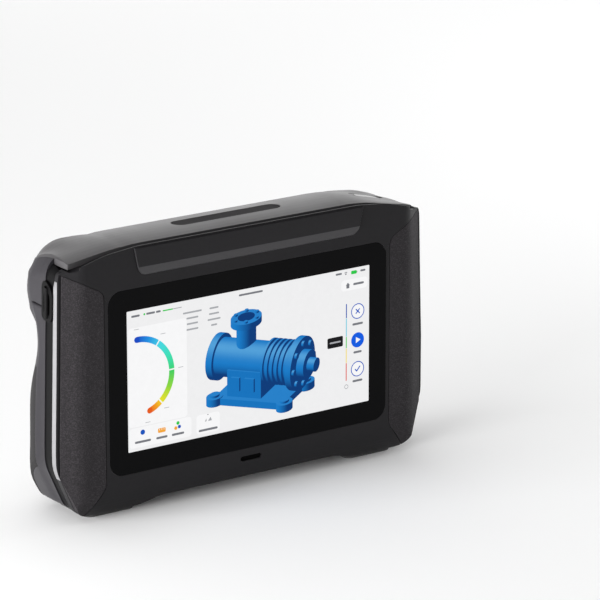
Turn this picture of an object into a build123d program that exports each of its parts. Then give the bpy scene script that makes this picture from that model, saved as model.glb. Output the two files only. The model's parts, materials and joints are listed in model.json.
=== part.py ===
"""Handheld 3-D scanner with a touch screen, two moulded hand grips and a stereo camera bar.

Frame: +Z is up, +X is to the right of a person facing the screen, the screen faces -Y and the cameras
face +Y. Depths are counted backwards from the front of the screen's glass. The origin lies below the
middle of the body, on the surface that the feet stand on. All lengths are in millimetres.
"""
import os
from math import atan2, cos, degrees, hypot, radians, sin, tan

from build123d import *

# Body outline, seen from the screen side
bottom_margin = 19.9
top_margin = 20.0
end_margin = 14.8
foot_height = 2.0
arch_height = 5.4
arch_inset = 53.3
foot_start_inset = 43.3
taper_height = 27.0
taper_inset = 10.7
slope_inset = 37.3
slope_drop = 8.9
slope_bend = 8.0
slope_bend_shares = (-1.0, -0.5, 0.0, 0.5, 1.0)
arch_radius = 20.0
bottom_corner_radius = 8.0
taper_radius = 20.0
top_corner_radius = 11.0

# Main depths behind the glass
bevel_depth = 5.55
strip_depth = 8.9
seam_depth = 16.6
back_depth = 38.0
bar_depth = 42.0

# Walls, fits and cutting
wall = 2.4
fit_gap = 0.1
running_gap = 0.3
shaft_gap = 0.05
overrun = 5.0

# Front bezel
fold_inset = 10.5
fold_radius = 14.0
base_curve_height = 13.5
base_curve_depth = 6.7
roof_extra = 2.6
boss_inset = 17.3
boss_low_z = 31.0
boss_middle_drop = 53.9
boss_top_drop = 22.9
boss_radius = 3.0

# Screen
glass_width = 156.2
glass_height = 89.0
glass_radius = 7.0
glass_thickness = 1.2
gasket_thickness = 0.4
gasket_width = 3.6
display_width = 142.0
display_height = 74.0
display_thickness = 2.5

# Sound slot below the screen, its mesh and the speaker behind it
slot_width = 12.0
slot_height = 2.4
slot_below_glass = 5.0
slot_mesh_depth = 0.9
speaker_width = 22.0
speaker_height = 9.0
speaker_thickness = 4.5

# Raised brow above the screen
brow_proud = 1.0
brow_half_width = 64.0
brow_ridge_drop = 10.0
brow_crease_drop = 14.3
brow_taper = 3.0
brow_corner_radius = 5.0

# Textured grip panels beside the screen
panel_thickness = 1.0
panel_border = 2.2
panel_top_inner_drop = 23.9
panel_top_outer_drop = 10.9
panel_heel_z = 16.0
panel_foot_inset = 6.8
panel_radius = 6.0
panel_groove = 0.35
slit_depth = 5.3
slit_width = 0.6

# Satin trim strips on the sides of the bezel
trim_thickness = 0.8
trim_bottom_z = 21.7
trim_top_drop = 10.4

# Middle frame with its cross plate, battery saddles and board posts
frame_inset = 1.0
frame_wall = 3.0
plate_thickness = 1.5
saddle_width = 4.0
saddle_half_length = 11.0
post_height = 2.0
post_radius = 2.6

# Top cover
rim_thickness = 0.8
groove_drop = 1.5
cover_front_depth = 5.0
cover_rear_depth = 36.0
cover_end_inset = 5.3
cover_end_gap = 0.9
cover_thickness = 2.8
cover_front_drop = 0.2
cover_rear_drop = 1.6
crown_rise = 0.6
crown_clearance = 0.5
rear_groove_width = 1.0
rear_groove_drop = 3.1
inlay_length = 60.0
inlay_width = 9.5
inlay_recess = 0.4
inlay_thickness = 1.2

# Power button, its switch and the status light on the sloping end of the top cover
button_inset = 22.3
button_depth = 21.5
button_length = 13.0
button_width = 6.0
button_travel = 0.8
button_sink = 0.3
button_flange = 1.2
button_flange_thickness = 1.0
button_stem_radius = 1.6
switch_size = 6.0
switch_height = 3.0
well_wall = 2.0
light_radius = 1.1
light_offset = 9.2
dish_length = 19.0
dish_width = 8.4
dish_sink = 0.5

# Camera bar at the top of the back
rear_inset = 0.6
bar_height = 45.5
bar_end_radius = 19.0
bar_corner_radius = 12.0
bar_top_radius = 20.0
bar_top_drop = 4.4
strip_front_depth = 37.0
strip_top_drop = 1.9
roof_thickness = 6.0
lens_drop = 25.4
lip_height = 2.2
lip_groove_width = 0.7
lip_groove_depth = 0.8

# Plate and window between the camera pods
centre_plate_half_width = 40.0
centre_plate_thickness = 0.9
centre_plate_margin = 1.6
window_length = 68.6
window_height = 32.0
window_thickness = 1.6
window_proud = 0.4
insert_thickness = 1.2
insert_recess = 0.5
insert_rim = 0.9
texture_lens_radius = 3.8
texture_lens_u = -28.3
projector_size = 8.0
projector_radius = 1.5
projector_us = (-11.6, 25.2)
laser_width = 6.5
laser_height = 8.9
laser_radius = 1.8
laser_v = 5.8
laser_u = 11.7
laser_lean = 25.0

# Camera pods
pod_gap = 2.2
pod_length = 52.0
pod_height = 35.4
pod_proud = 7.0
pod_toe_in = 9.6
pod_body_depth = 14.0
pod_rim = 1.5
pod_wall = 2.4
pod_floor = 1.5
pod_glass_thickness = 1.2
main_lens_u = -8.3
main_lens_radius = 8.2
main_barrel_wall = 1.2
main_cone_depth = 3.0
main_cone_drop = 1.9
main_lens_bore_depth = 4.0
main_lens_dome = 1.4
side_lens_u = 16.7
side_lens_radius = 4.55
side_barrel_wall = 1.0
side_recess = 1.6
side_dome_radius = 2.9
side_dome = 0.9
lamp_size = 3.2
lamp_ring_radius = 12.8
lamp_sink = 0.8
lamp_angles = (90, 30, -30, -90, -150, 150)
fill_lamp_radius = 2.0
fill_lamp_u = 14.2
fill_lamp_v = 9.8

# Optical bench behind the centre window
bench_length = 66.0
bench_height = 30.0
bench_thickness = 3.0
bench_post_length = 3.5
bench_post_radius = 2.5
bench_post_margin = 4.5

# Rear cover with its two moulded grips
flat_inset = 53.3
flank_inset = 40.3
crest_inset = 24.3
shoulder_inset = 8.8
side_inset = 1.7
flank_depth = 42.3
crest_depth = 49.0
shoulder_depth = 41.0
side_depth = 28.0
waist_shoulder_depth = 33.2
waist_side_depth = 25.0
flare_shoulder_depth = 41.4
flare_side_depth = 35.0
section_height_shares = (-0.04, 0.17, 0.38, 0.60, 0.77, 0.90, 1.05, 1.14, 1.30)
section_bulge_shares = (0.50, 0.86, 1.00, 1.00, 0.62, 0.12, 0.00, 0.00, 0.00)
section_flare_shares = (0.00, 0.00, 0.00, 0.00, 0.00, 0.00, 0.06, 0.30, 0.55)

# Rubber pads on the rear grips
pad_thickness = 1.2
pad_inner_inset = 41.3
pad_bottom_z = 4.5
pad_top_inner_drop = 17.4
pad_top_outer_drop = 10.4
pad_radius = 8.0
pad_front_depth = 24.0

# Air grille and fan
grille_pitch = 3.4
grille_rows = 11
grille_columns = 21
grille_hole = 2.6
grille_edge_shares = (0.42, 0.72)
grille_bottom_z = 24.5
grille_margin = 2.2
grille_corner_radius = 3.0
row_pitch_share = 0.866
fan_size = 40.0
fan_depth = 10.0
fan_corner_radius = 3.0
fan_bore_radius = 18.8
fan_tip_gap = 0.6
fan_hub_radius = 8.5
fan_plate_radius = 9.0
fan_plate_thickness = 1.5
fan_strut_width = 3.0
fan_strut_count = 3
fan_pin_radius = 1.5
fan_pin_length = 5.0
fan_axial_gap = 0.5
fan_rotor_height = 6.5
fan_blade_count = 7
fan_blade_thickness = 1.2
fan_blade_pitch = 38.0

# Board, heat sink and batteries
board_width = 110.0
board_height = 62.0
board_thickness = 1.6
board_drop = 6.4
board_post_margin = 5.0
sink_size = 44.0
sink_base = 2.0
sink_height = 8.5
sink_fin_count = 9
sink_fin_thickness = 1.2
cell_inset = 23.3
cell_radius = 9.1
cell_headroom = 10.4
cell_bottom_z = 8.0
cell_depth = 27.0
saddle_shares = (0.18, 0.82)

# Feet, side cap, strap lug, ports and screws
foot_inner_inset = 42.9
foot_outer_inset = 16.3
foot_front_depth = 6.8
foot_rear_depth = 34.0
foot_corner_radius = 4.0
cap_radius = 6.7
cap_behind_seam = 2.9
cap_drop = 24.9
cap_face_inset = 0.7
cap_thickness = 1.4
cap_ring_radius = 5.4
cap_ring_width = 0.6
cap_ring_depth = 0.4
lug_width = 9.0
lug_height = 15.0
lug_corner_radius = 3.0
lug_depth = 13.8
lug_seat = 2.0
lug_proud = 0.5
lug_slot_width = 5.4
lug_slot_height = 10.0
lug_bar_radius = 1.1
lug_bar_reach = 1.0
bush_radius = 5.0
bush_flange_radius = 6.5
bush_flange_thickness = 1.5
bush_bore_radius = 2.6
bush_length = 7.0
bush_depth = 27.0
port_x = 24.0
port_width = 9.0
port_height = 3.3
port_wall = 0.4
port_length = 7.0
screw_radius = 1.0
screw_length = 4.5
screw_head_radius = 1.9
screw_head_height = 1.2

# Places that follow from the sizes above
rim_height = bottom_margin + glass_height + top_margin
glass_centre_z = bottom_margin + glass_height / 2
pod_x = window_length / 2 + pod_gap + pod_length / 2
half_width = pod_x + pod_length / 2 + end_margin
arch_half_width = half_width - arch_inset
foot_start_x = half_width - foot_start_inset
slope_start_x = half_width - slope_inset
fold_half_width = half_width - fold_inset
boss_x = half_width - boss_inset
boss_heights = (boss_low_z, rim_height - boss_middle_drop, rim_height - boss_top_drop)
panel_inner_x = glass_width / 2 + panel_border
panel_foot_x = half_width - panel_foot_inset
cover_half_length = half_width - cover_end_inset
crown_depth = (cover_front_depth + cover_rear_depth) / 2
button_x = half_width - button_inset
bar_bottom = rim_height - bar_height
lens_height = rim_height - lens_drop
cell_x = half_width - cell_inset
cell_length = bar_bottom - cell_headroom - cell_bottom_z
board_centre_z = glass_centre_z - board_drop
foot_inner_x = half_width - foot_inner_inset
foot_outer_x = half_width - foot_outer_inset
toe = radians(pod_toe_in)
pod_reach = bar_depth + pod_proud + pod_length / 2 * sin(toe)
glass_y = brow_proud - (pod_reach + brow_proud) / 2
slope_share = slope_drop / slope_inset
slope_angle = degrees(atan2(slope_drop, slope_inset))
slope_radius = slope_bend / tan(radians(slope_angle) / 2)
rear_half_width = half_width - rear_inset
cover_under = -(crown_rise + cover_thickness) * cos(radians(slope_angle))
grille_row_pitch = grille_pitch * row_pitch_share
grille_centre_z = grille_bottom_z + (grille_rows - 1) / 2 * grille_row_pitch
grille_width = (grille_columns - 1) * grille_pitch + grille_hole
grille_height = (grille_rows - 1) * grille_row_pitch + grille_hole
plate_back_depth = strip_depth + plate_thickness
board_depth = plate_back_depth + post_height
cap_depth = seam_depth + cap_behind_seam
cap_height = rim_height - cap_drop
screw_bore = screw_radius + shaft_gap
sides = {"left": -1, "right": 1}


def front_plane(depth):
    """Plane facing the user, with local x along X and local y along Z."""
    return Plane((0, glass_y + depth, 0), x_dir=(1, 0, 0), z_dir=(0, -1, 0))


def rear_plane(x, depth, z, turn=0.0):
    """Plane facing backwards, turned about Z, with local x to the right as seen from behind."""
    return Plane((x, glass_y + depth, z), x_dir=(-cos(turn), sin(turn), 0), z_dir=(sin(turn), cos(turn), 0))


def front_prism(sketch, front, back):
    """Extrude a front view between two depths."""
    return extrude(front_plane(back) * sketch, amount=back - front)


def plan_prism(sketch, low, high):
    """Extrude a plan, drawn as x against depth, between two heights."""
    return extrude(Plane((0, glass_y, low)) * sketch, amount=high - low)


def side_plane(x):
    """Plane across the body, with local x along the depth and local y along Z."""
    return Plane((x, glass_y, 0), x_dir=(0, 1, 0), z_dir=(1, 0, 0))


def polygon(*points):
    """Face with straight sides."""
    return make_face(Polyline(*points, close=True))


def rounded(points, radii):
    """Face with straight sides and a radius at each corner."""
    return make_face(FilletPolyline(*points, radius=radii, close=True))


def block(x0, x1, front, back, low, high):
    """Box between two places on X, two depths and two heights."""
    centre = Pos((x0 + x1) / 2, glass_y + (front + back) / 2, (low + high) / 2)
    return centre * Box(x1 - x0, back - front, high - low)


def rod(x, z, radius, front, back):
    """Cylinder along the depth."""
    return front_prism(Pos(x, z) * Circle(radius), front, back)


def side_rod(side, depth, z, radius, inner, outer):
    """Cylinder along X on one side of the body."""
    section = side_plane(side * inner) * (Pos(depth, z) * Circle(radius))
    return extrude(section, amount=side * (outer - inner))


def top_height(x):
    """Height of the front rim above the feet: level, then a soft bend to a slope at both ends."""
    past = abs(x) - slope_start_x
    if past <= -slope_bend:
        return rim_height
    if past >= slope_bend:
        return rim_height - past * slope_share
    return rim_height - (past + slope_bend) ** 2 / (4 * slope_bend) * slope_share


def top_loft(half_length, profile):
    """Bar along the top that bends down with the rim; profile gives a section for a rim height."""
    right = [slope_start_x + share * slope_bend for share in slope_bend_shares] + [half_length]
    stations = [-x for x in reversed(right)] + right
    sections = [side_plane(x) * profile(top_height(x)) for x in stations]
    return loft(sections, ruled=True)


def crown(top):
    """Curve of the top from its front groove to its rear groove, for a rim height."""
    front = (cover_front_depth, top - cover_front_drop)
    rear = (cover_rear_depth, top - cover_rear_drop)
    return ThreePointArc(front, (crown_depth, top + crown_rise), rear)


def crowned(top, *below):
    """Section with the top's crown above and straight sides below, given from rear to front."""
    arc = crown(top)
    sides_below = Polyline(arc @ 1, *below, arc @ 0)
    return make_face([arc, *sides_below.edges()])


def body_outline(inset=0):
    """Front view of the body: arched underside, tapered lower sides and sloping top ends."""
    right = [
        (arch_half_width, arch_height),
        (foot_start_x, foot_height),
        (half_width - taper_inset, foot_height),
        (half_width, taper_height),
        (half_width, rim_height - slope_drop),
        (slope_start_x, rim_height),
    ]
    radii = [arch_radius, arch_radius, bottom_corner_radius, taper_radius, top_corner_radius, slope_radius]
    points = right + [(-x, z) for x, z in reversed(right)]
    face = rounded(points, radii + radii[::-1])
    return offset(face, -inset) if inset else face


def bezel_block(inset, back):
    """Outer body of the front bezel: flat face, bevelled sides and a face that curves back at its foot."""
    far = back + overrun
    high = rim_height + overrun
    plan_points = [
        (-fold_half_width, 0),
        (fold_half_width, 0),
        (half_width, bevel_depth),
        (half_width, far),
        (-half_width, far),
        (-half_width, bevel_depth),
    ]
    plan = rounded(plan_points, [fold_radius, fold_radius, 0, 0, 0, 0])
    curve = TangentArc((0, base_curve_height), (base_curve_depth, 0), tangent=(0, -1))
    rest = Polyline(
        (base_curve_depth, 0),
        (base_curve_depth, -overrun),
        (far, -overrun),
        (far, high),
        (0, high),
        (0, base_curve_height),
    )
    side = make_face([curve, *rest.edges()])
    if inset:
        plan = offset(plan, -inset, kind=Kind.INTERSECTION)
        side = offset(side, -inset, kind=Kind.INTERSECTION)
    body = front_prism(body_outline(inset), 0, back)
    body &= plan_prism(plan, -overrun, high)
    body &= extrude(side_plane(-half_width - overrun) * side, amount=2 * (half_width + overrun))
    return body


def panel_mask(side, border=0):
    """Front view of a grip panel with a border round it, running out past the side of the body."""
    outer_x = half_width + overrun
    points = [
        (side * panel_inner_x, panel_heel_z),
        (side * panel_foot_x, -overrun),
        (side * outer_x, -overrun),
        (side * outer_x, rim_height - panel_top_outer_drop),
        (side * panel_inner_x, rim_height - panel_top_inner_drop),
    ]
    face = rounded(points, [panel_radius, 0, 0, 0, panel_radius])
    return offset(face, border) if border else face


def brow():
    """Raised pad above the screen: flat face, a ridge, then a slope back to the bezel."""
    low = rim_height - brow_crease_drop
    ridge = rim_height - brow_ridge_drop
    outline = rounded(
        [
            (-brow_half_width, rim_height),
            (-brow_half_width + brow_taper, low),
            (brow_half_width - brow_taper, low),
            (brow_half_width, rim_height),
        ],
        [0, brow_corner_radius, brow_corner_radius, 0],
    )
    section = polygon((0, rim_height - brow_proud / 2), (-brow_proud, rim_height - brow_proud),
                      (-brow_proud, ridge), (0, low))
    bar = extrude(side_plane(-brow_half_width) * section, amount=2 * brow_half_width)
    return bar & front_prism(outline, -brow_proud, 0)


def top_cut(front, back, drop, end_gap=0):
    """Cut across the top between two depths, down to a drop below the rim."""
    def section(top):
        low = top - drop
        high = top + overrun
        return polygon((front, low), (front, high), (back, high), (back, low))
    return top_loft(cover_half_length + end_gap, section)


def cover_cut(end_gap=0):
    """Space under the top cover, with a gap past each of its ends."""
    return top_cut(cover_front_depth, cover_rear_depth, cover_thickness, end_gap)


def button_plane():
    """Plane on the top cover's crown at the power button, facing out of the slope."""
    top = top_height(button_x) + crown_rise
    tilt = radians(slope_angle)
    return Plane((button_x, glass_y + button_depth, top), x_dir=(cos(tilt), 0, -sin(tilt)),
                 z_dir=(sin(tilt), 0, cos(tilt)))


def button_prism(sketch, low, high):
    """Extrude a sketch on the button's plane between two heights above it."""
    return extrude(button_plane().offset(low) * sketch, amount=high - low)


def grip_points(bulge, flare, inset=0):
    """Half section of the rear cover, from the edge of its flat back round the grip to the seam."""
    near = seam_depth - overrun
    waist = [back_depth, back_depth, back_depth, waist_shoulder_depth, waist_side_depth, near]
    grip = [back_depth, flank_depth, crest_depth, shoulder_depth, side_depth, near]
    flared = [back_depth, back_depth, back_depth, flare_shoulder_depth, flare_side_depth, near]
    insets = [flat_inset, flank_inset, crest_inset, shoulder_inset, side_inset, 0]
    xs = [half_width - value for value in insets]
    depths = [low + bulge * (high - low) + flare * (wide - low)
              for low, high, wide in zip(waist, grip, flared)]
    points = []
    for i, (x, depth) in enumerate(zip(xs, depths)):
        before = max(i - 1, 0)
        after = min(i + 1, len(xs) - 1)
        run = xs[after] - xs[before]
        fall = depths[after] - depths[before]
        if i == 0:
            fall = 0
        if after == i:
            run = 0
        length = hypot(run, fall)
        points.append((x + inset * fall / length, depth - inset * run / length))
    return points


def grip_section(bulge, flare, inset=0):
    """Section across the rear cover at one height."""
    points = grip_points(bulge, flare, inset)
    right = Spline(*points, tangents=[(1, 0), (0, -1)])
    mirrored = [(-x, depth) for x, depth in reversed(points)]
    left = Spline(*mirrored, tangents=[(0, 1), (1, 0)])
    front = Line(points[-1], mirrored[0])
    back = Line(mirrored[-1], points[0])
    return make_face([right, front, left, back])


def rear_block(inset=0):
    """Rear body with both grips, lofted upwards through its sections."""
    sections = []
    for share, bulge, flare in zip(section_height_shares, section_bulge_shares, section_flare_shares):
        plane = Plane((0, glass_y, share * bar_bottom))
        sections.append(plane * grip_section(bulge, flare, inset))
    return loft(sections)


def bar_outline(top_radius, inset=0):
    """Outline of the camera bar: round lower ends, sloping top ends and round top corners."""
    x = rear_half_width - inset
    low = bar_bottom + inset
    high = rim_height + crown_rise + crown_clearance - inset
    end = high - slope_drop
    points = [(-x, low), (x, low), (x, end), (slope_start_x, high), (-slope_start_x, high), (-x, end)]
    lower = bar_end_radius - inset
    upper = top_radius - inset
    return rounded(points, [lower, lower, upper, slope_radius, slope_radius, upper])


def bar_ends():
    """Outer shape of the camera bar's ends: its top corners grow rounder from the seam to the rear."""
    far = bar_depth + overrun
    front = front_plane(seam_depth) * bar_outline(top_corner_radius)
    return loft([front, front_plane(far) * bar_outline(bar_top_radius)], ruled=True)


def bar_plan(inset, near):
    """Plan of the camera bar, round at both rear corners."""
    x = rear_half_width - inset
    far = bar_depth - inset
    radius = bar_corner_radius - inset
    outline = rounded([(-x, near), (x, near), (x, far), (-x, far)], [0, 0, radius, radius])
    return plan_prism(outline, bar_bottom - overrun, rim_height + overrun)


def bar_block():
    """Outer body of the camera bar: crowned top, then a strip that slopes down to its rear face."""
    low = bar_bottom - overrun

    def section(top):
        return crowned(top, (strip_front_depth, top - strip_top_drop), (bar_depth, top - bar_top_drop),
                       (bar_depth, low), (cover_front_depth, low))
    return top_loft(half_width, section) & bar_plan(0, seam_depth) & bar_ends()


def bar_cavity():
    """Space inside the camera bar, open towards the seam."""
    near = seam_depth - overrun
    low = bar_bottom - overrun
    far = bar_depth - wall
    roof = roof_thickness - wall

    def section(top):
        high = top - strip_top_drop - roof
        return polygon((near, low), (far, low), (far, top - bar_top_drop - roof),
                       (strip_front_depth - wall, high), (near, high))
    ends = front_prism(bar_outline(bar_top_radius, wall), near, bar_depth)
    return top_loft(half_width, section) & bar_plan(wall, near) & ends


def pod_plane(side):
    """Plane on the face of a camera pod, turned in to face the middle of the view."""
    return rear_plane(side * pod_x, bar_depth + pod_proud, lens_height, -side * toe)


def on_plane(plane, sketch, low, high):
    """Extrude a sketch on a plane between two distances along its normal."""
    return extrude(plane.offset(low) * sketch, amount=high - low)


def stadium(length, height, inset=0):
    """Stadium with its whole edge moved inwards by an inset."""
    return SlotOverall(length - 2 * inset, height - 2 * inset)


def turned(points):
    """Solid of revolution about Z from a half section of radius against height."""
    face = Plane.XZ * polygon(*points)
    return revolve(face, Axis.Z)


def lamp_places():
    """Places of the ring lamps around the main lens, each turned to face it."""
    return [Pos(main_lens_u, 0) * Rot(0, 0, angle) * Pos(lamp_ring_radius, 0) for angle in lamp_angles]


def fill_places():
    """Places of the two fill lamps above and below the side lens."""
    return [Pos(fill_lamp_u, fill_lamp_v), Pos(fill_lamp_u, -fill_lamp_v)]


def laser_places():
    """Places of the laser windows: an upright pair and a leaning pair."""
    return [
        Pos(0, laser_v),
        Pos(0, -laser_v),
        Pos(laser_u, laser_v) * Rot(0, 0, laser_lean),
        Pos(laser_u, -laser_v) * Rot(0, 0, -laser_lean),
    ]


def framed_insert(place, plane, outline, hollow):
    """Window insert with a raised rim, sunk to the face of the centre window."""
    body = on_plane(plane, place * outline, window_proud - insert_thickness, window_proud)
    return body - on_plane(plane, place * hollow, window_proud - insert_recess, window_proud + overrun)


def make_screen():
    """Cover glass, its gasket and the display behind it."""
    place = Pos(0, glass_centre_z)
    outer = RectangleRounded(glass_width, glass_height, glass_radius)
    glass = front_prism(place * outer, 0, glass_thickness)
    inner = Rectangle(glass_width - 2 * gasket_width, glass_height - 2 * gasket_width)
    back = glass_thickness + gasket_thickness
    gasket = front_prism(place * (outer - inner), glass_thickness, back)
    panel = Rectangle(display_width, display_height)
    display = front_prism(place * panel, glass_thickness, glass_thickness + display_thickness)
    return {"cover_glass": glass, "glass_gasket": gasket, "display_panel": display}


def make_front():
    """Front bezel with its brow, grip panels and sound slot."""
    cavity = bezel_block(wall, strip_depth + overrun)
    cavity &= Pos(0, 0, -roof_extra) * cavity
    bezel = bezel_block(0, strip_depth) - cavity
    place = Pos(0, glass_centre_z)
    pocket = RectangleRounded(glass_width + 2 * fit_gap, glass_height + 2 * fit_gap, glass_radius + fit_gap)
    opening = Rectangle(glass_width - 2 * gasket_width, glass_height - 2 * gasket_width)
    bezel -= front_prism(place * pocket, -overrun, glass_thickness + gasket_thickness)
    bezel -= front_prism(place * opening, -overrun, wall + overrun)
    bezel -= cover_cut(cover_end_gap)
    bezel -= top_cut(rim_thickness, cover_front_depth, groove_drop, cover_end_gap)

    slot_z = glass_centre_z - glass_height / 2 - slot_below_glass
    slot = Pos(0, slot_z) * stadium(slot_width, slot_height)
    bezel -= front_prism(slot, -overrun, wall + overrun)
    mesh = front_prism(slot, slot_mesh_depth, wall)
    speaker_low = slot_z - slot_height / 2
    speaker = block(-speaker_width / 2, speaker_width / 2, wall, wall + speaker_thickness,
                    speaker_low, speaker_low + speaker_height)

    for side in sides.values():
        for z in boss_heights:
            bezel += rod(side * boss_x, z, boss_radius, wall, strip_depth)
            bezel -= rod(side * boss_x, z, screw_bore, strip_depth - screw_length, strip_depth)
    layer = bezel_block(0, bevel_depth) - bezel_block(panel_thickness, bevel_depth + overrun)
    skin = bezel_block(0, strip_depth) - bezel_block(trim_thickness, strip_depth + overrun)
    trim_top = rim_height - trim_top_drop
    pieces = {}
    for name, side in sides.items():
        bezel -= layer & front_prism(panel_mask(side, panel_groove), -overrun, slit_depth)
        panel = layer & front_prism(panel_mask(side), -overrun, slit_depth - slit_width)
        x0, x1 = sorted((side * fold_half_width, side * (half_width + overrun)))
        trim = skin & block(x0, x1, bevel_depth, strip_depth, trim_bottom_z, trim_top)
        bezel -= trim
        pieces[f"front_grip_{name}"] = panel
        pieces[f"side_trim_{name}"] = trim
    return {"front_bezel": bezel, "brow_trim": brow(), "speaker_mesh": mesh, "speaker": speaker, **pieces}


def side_prism(side, sketch, inner, outer):
    """Extrude a side view, drawn as depth against height, between two places on X."""
    return extrude(side_plane(side * inner) * sketch, amount=side * (outer - inner))


def lug_outline(gap=0):
    """Side view of the strap lug's plate with a gap round it."""
    plate = RectangleRounded(lug_width + 2 * gap, lug_height + 2 * gap, lug_corner_radius + gap)
    return Pos(lug_depth, cap_height) * plate


def cap_pockets():
    """Pockets for the cap on the right and the strap lug on the left, across the parting lines."""
    far = half_width + overrun
    floor = half_width - cap_face_inset - cap_thickness
    cap_pocket = side_rod(1, cap_depth, cap_height, cap_radius + fit_gap, floor, far)
    lug_pocket = side_prism(-1, lug_outline(fit_gap), half_width - lug_seat, far)
    return [cap_pocket, lug_pocket]


def cell_rod(side, radius, low, high):
    """Upright cylinder at a battery cell's place."""
    return plan_prism(Pos(side * cell_x, cell_depth) * Circle(radius), low, high)


def make_frame():
    """Middle frame: a band round the body, a cross plate, battery saddles and posts for the board."""
    outer = body_outline(frame_inset)
    frame = front_prism(outer - body_outline(frame_inset + frame_wall), strip_depth, seam_depth)
    frame += front_prism(outer, strip_depth, plate_back_depth)
    for side in sides.values():
        for share in saddle_shares:
            z = cell_bottom_z + share * cell_length
            x0, x1 = sorted((side * (cell_x - saddle_half_length), side * (cell_x + saddle_half_length)))
            saddle = block(x0, x1, plate_back_depth, cell_depth, z - saddle_width / 2, z + saddle_width / 2)
            frame += saddle - cell_rod(side, cell_radius, z - saddle_width, z + saddle_width)
        for z in boss_heights:
            frame -= rod(side * boss_x, z, screw_bore, strip_depth - overrun, plate_back_depth)
    for x, z in board_posts():
        frame += rod(x, z, post_radius, plate_back_depth, board_depth)
    frame -= cover_cut(cover_end_gap)
    frame -= port_block(0, port_length + overrun)
    frame -= cap_pockets()
    return {"mid_frame": frame}


def board_posts():
    """Places of the posts below the corners of the board."""
    x = board_width / 2 - board_post_margin
    z = board_height / 2 - board_post_margin
    return [(sx * x, board_centre_z + sz * z) for sx in (-1, 1) for sz in (-1, 1)]


def port_block(inset, length):
    """Flat-sided block of the charging port, upright in the underside of the middle frame."""
    depth = (plate_back_depth + seam_depth) / 2
    outline = Pos(port_x, depth) * SlotOverall(port_width - 2 * inset, port_height - 2 * inset)
    low = arch_height + frame_inset
    return plan_prism(outline, low, low + length)


def make_top():
    """Top cover with its inlay, the power button, its switch and the status light."""
    def section(top):
        low = top - cover_thickness
        return crowned(top, (cover_rear_depth, low), (cover_front_depth, low))
    ends = front_prism(bar_outline(top_corner_radius), cover_front_depth - overrun, seam_depth)
    cover = top_loft(cover_half_length, section) & (ends + bar_ends())
    ridge = Plane((0, glass_y + crown_depth, rim_height + crown_rise))
    recess = stadium(inlay_length, inlay_width)
    cover -= on_plane(ridge, recess, -inlay_recess - inlay_thickness, overrun)
    inlay = on_plane(ridge, recess, -inlay_recess - inlay_thickness, -inlay_recess)

    cover -= button_prism(stadium(dish_length, dish_width), -dish_sink, overrun)
    hole = stadium(button_length, button_width, -running_gap)
    cover -= button_prism(hole, cover_under - overrun, overrun)
    flange = stadium(button_length, button_width, -button_flange)
    flange_top = cover_under - running_gap
    button = button_prism(stadium(button_length, button_width), flange_top, -button_sink)
    button += button_prism(flange, flange_top - button_flange_thickness, flange_top)
    stem_low = flange_top - button_flange_thickness - button_travel
    button += button_prism(Circle(button_stem_radius), stem_low, flange_top)
    switch_top = stem_low - button_travel - running_gap
    switch = button_prism(Rectangle(switch_size, switch_size), switch_top - switch_height, switch_top)

    light_place = Pos(-light_offset, 0) * Circle(light_radius)
    light = button_prism(light_place, cover_under, -dish_sink)
    cover -= light
    return {
        "top_cover": cover,
        "top_inlay": inlay,
        "power_button": button,
        "button_switch": switch,
        "status_light": light,
    }


def switch_well(skin, rise):
    """Space below the power button for its flange and switch, with a skin around and below it."""
    depth = button_flange_thickness + 2 * button_travel + 2 * running_gap + switch_height
    outline = stadium(button_length, button_width, -button_flange - running_gap - skin)
    return button_prism(outline, cover_under - depth - skin, cover_under + rise)


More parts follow.
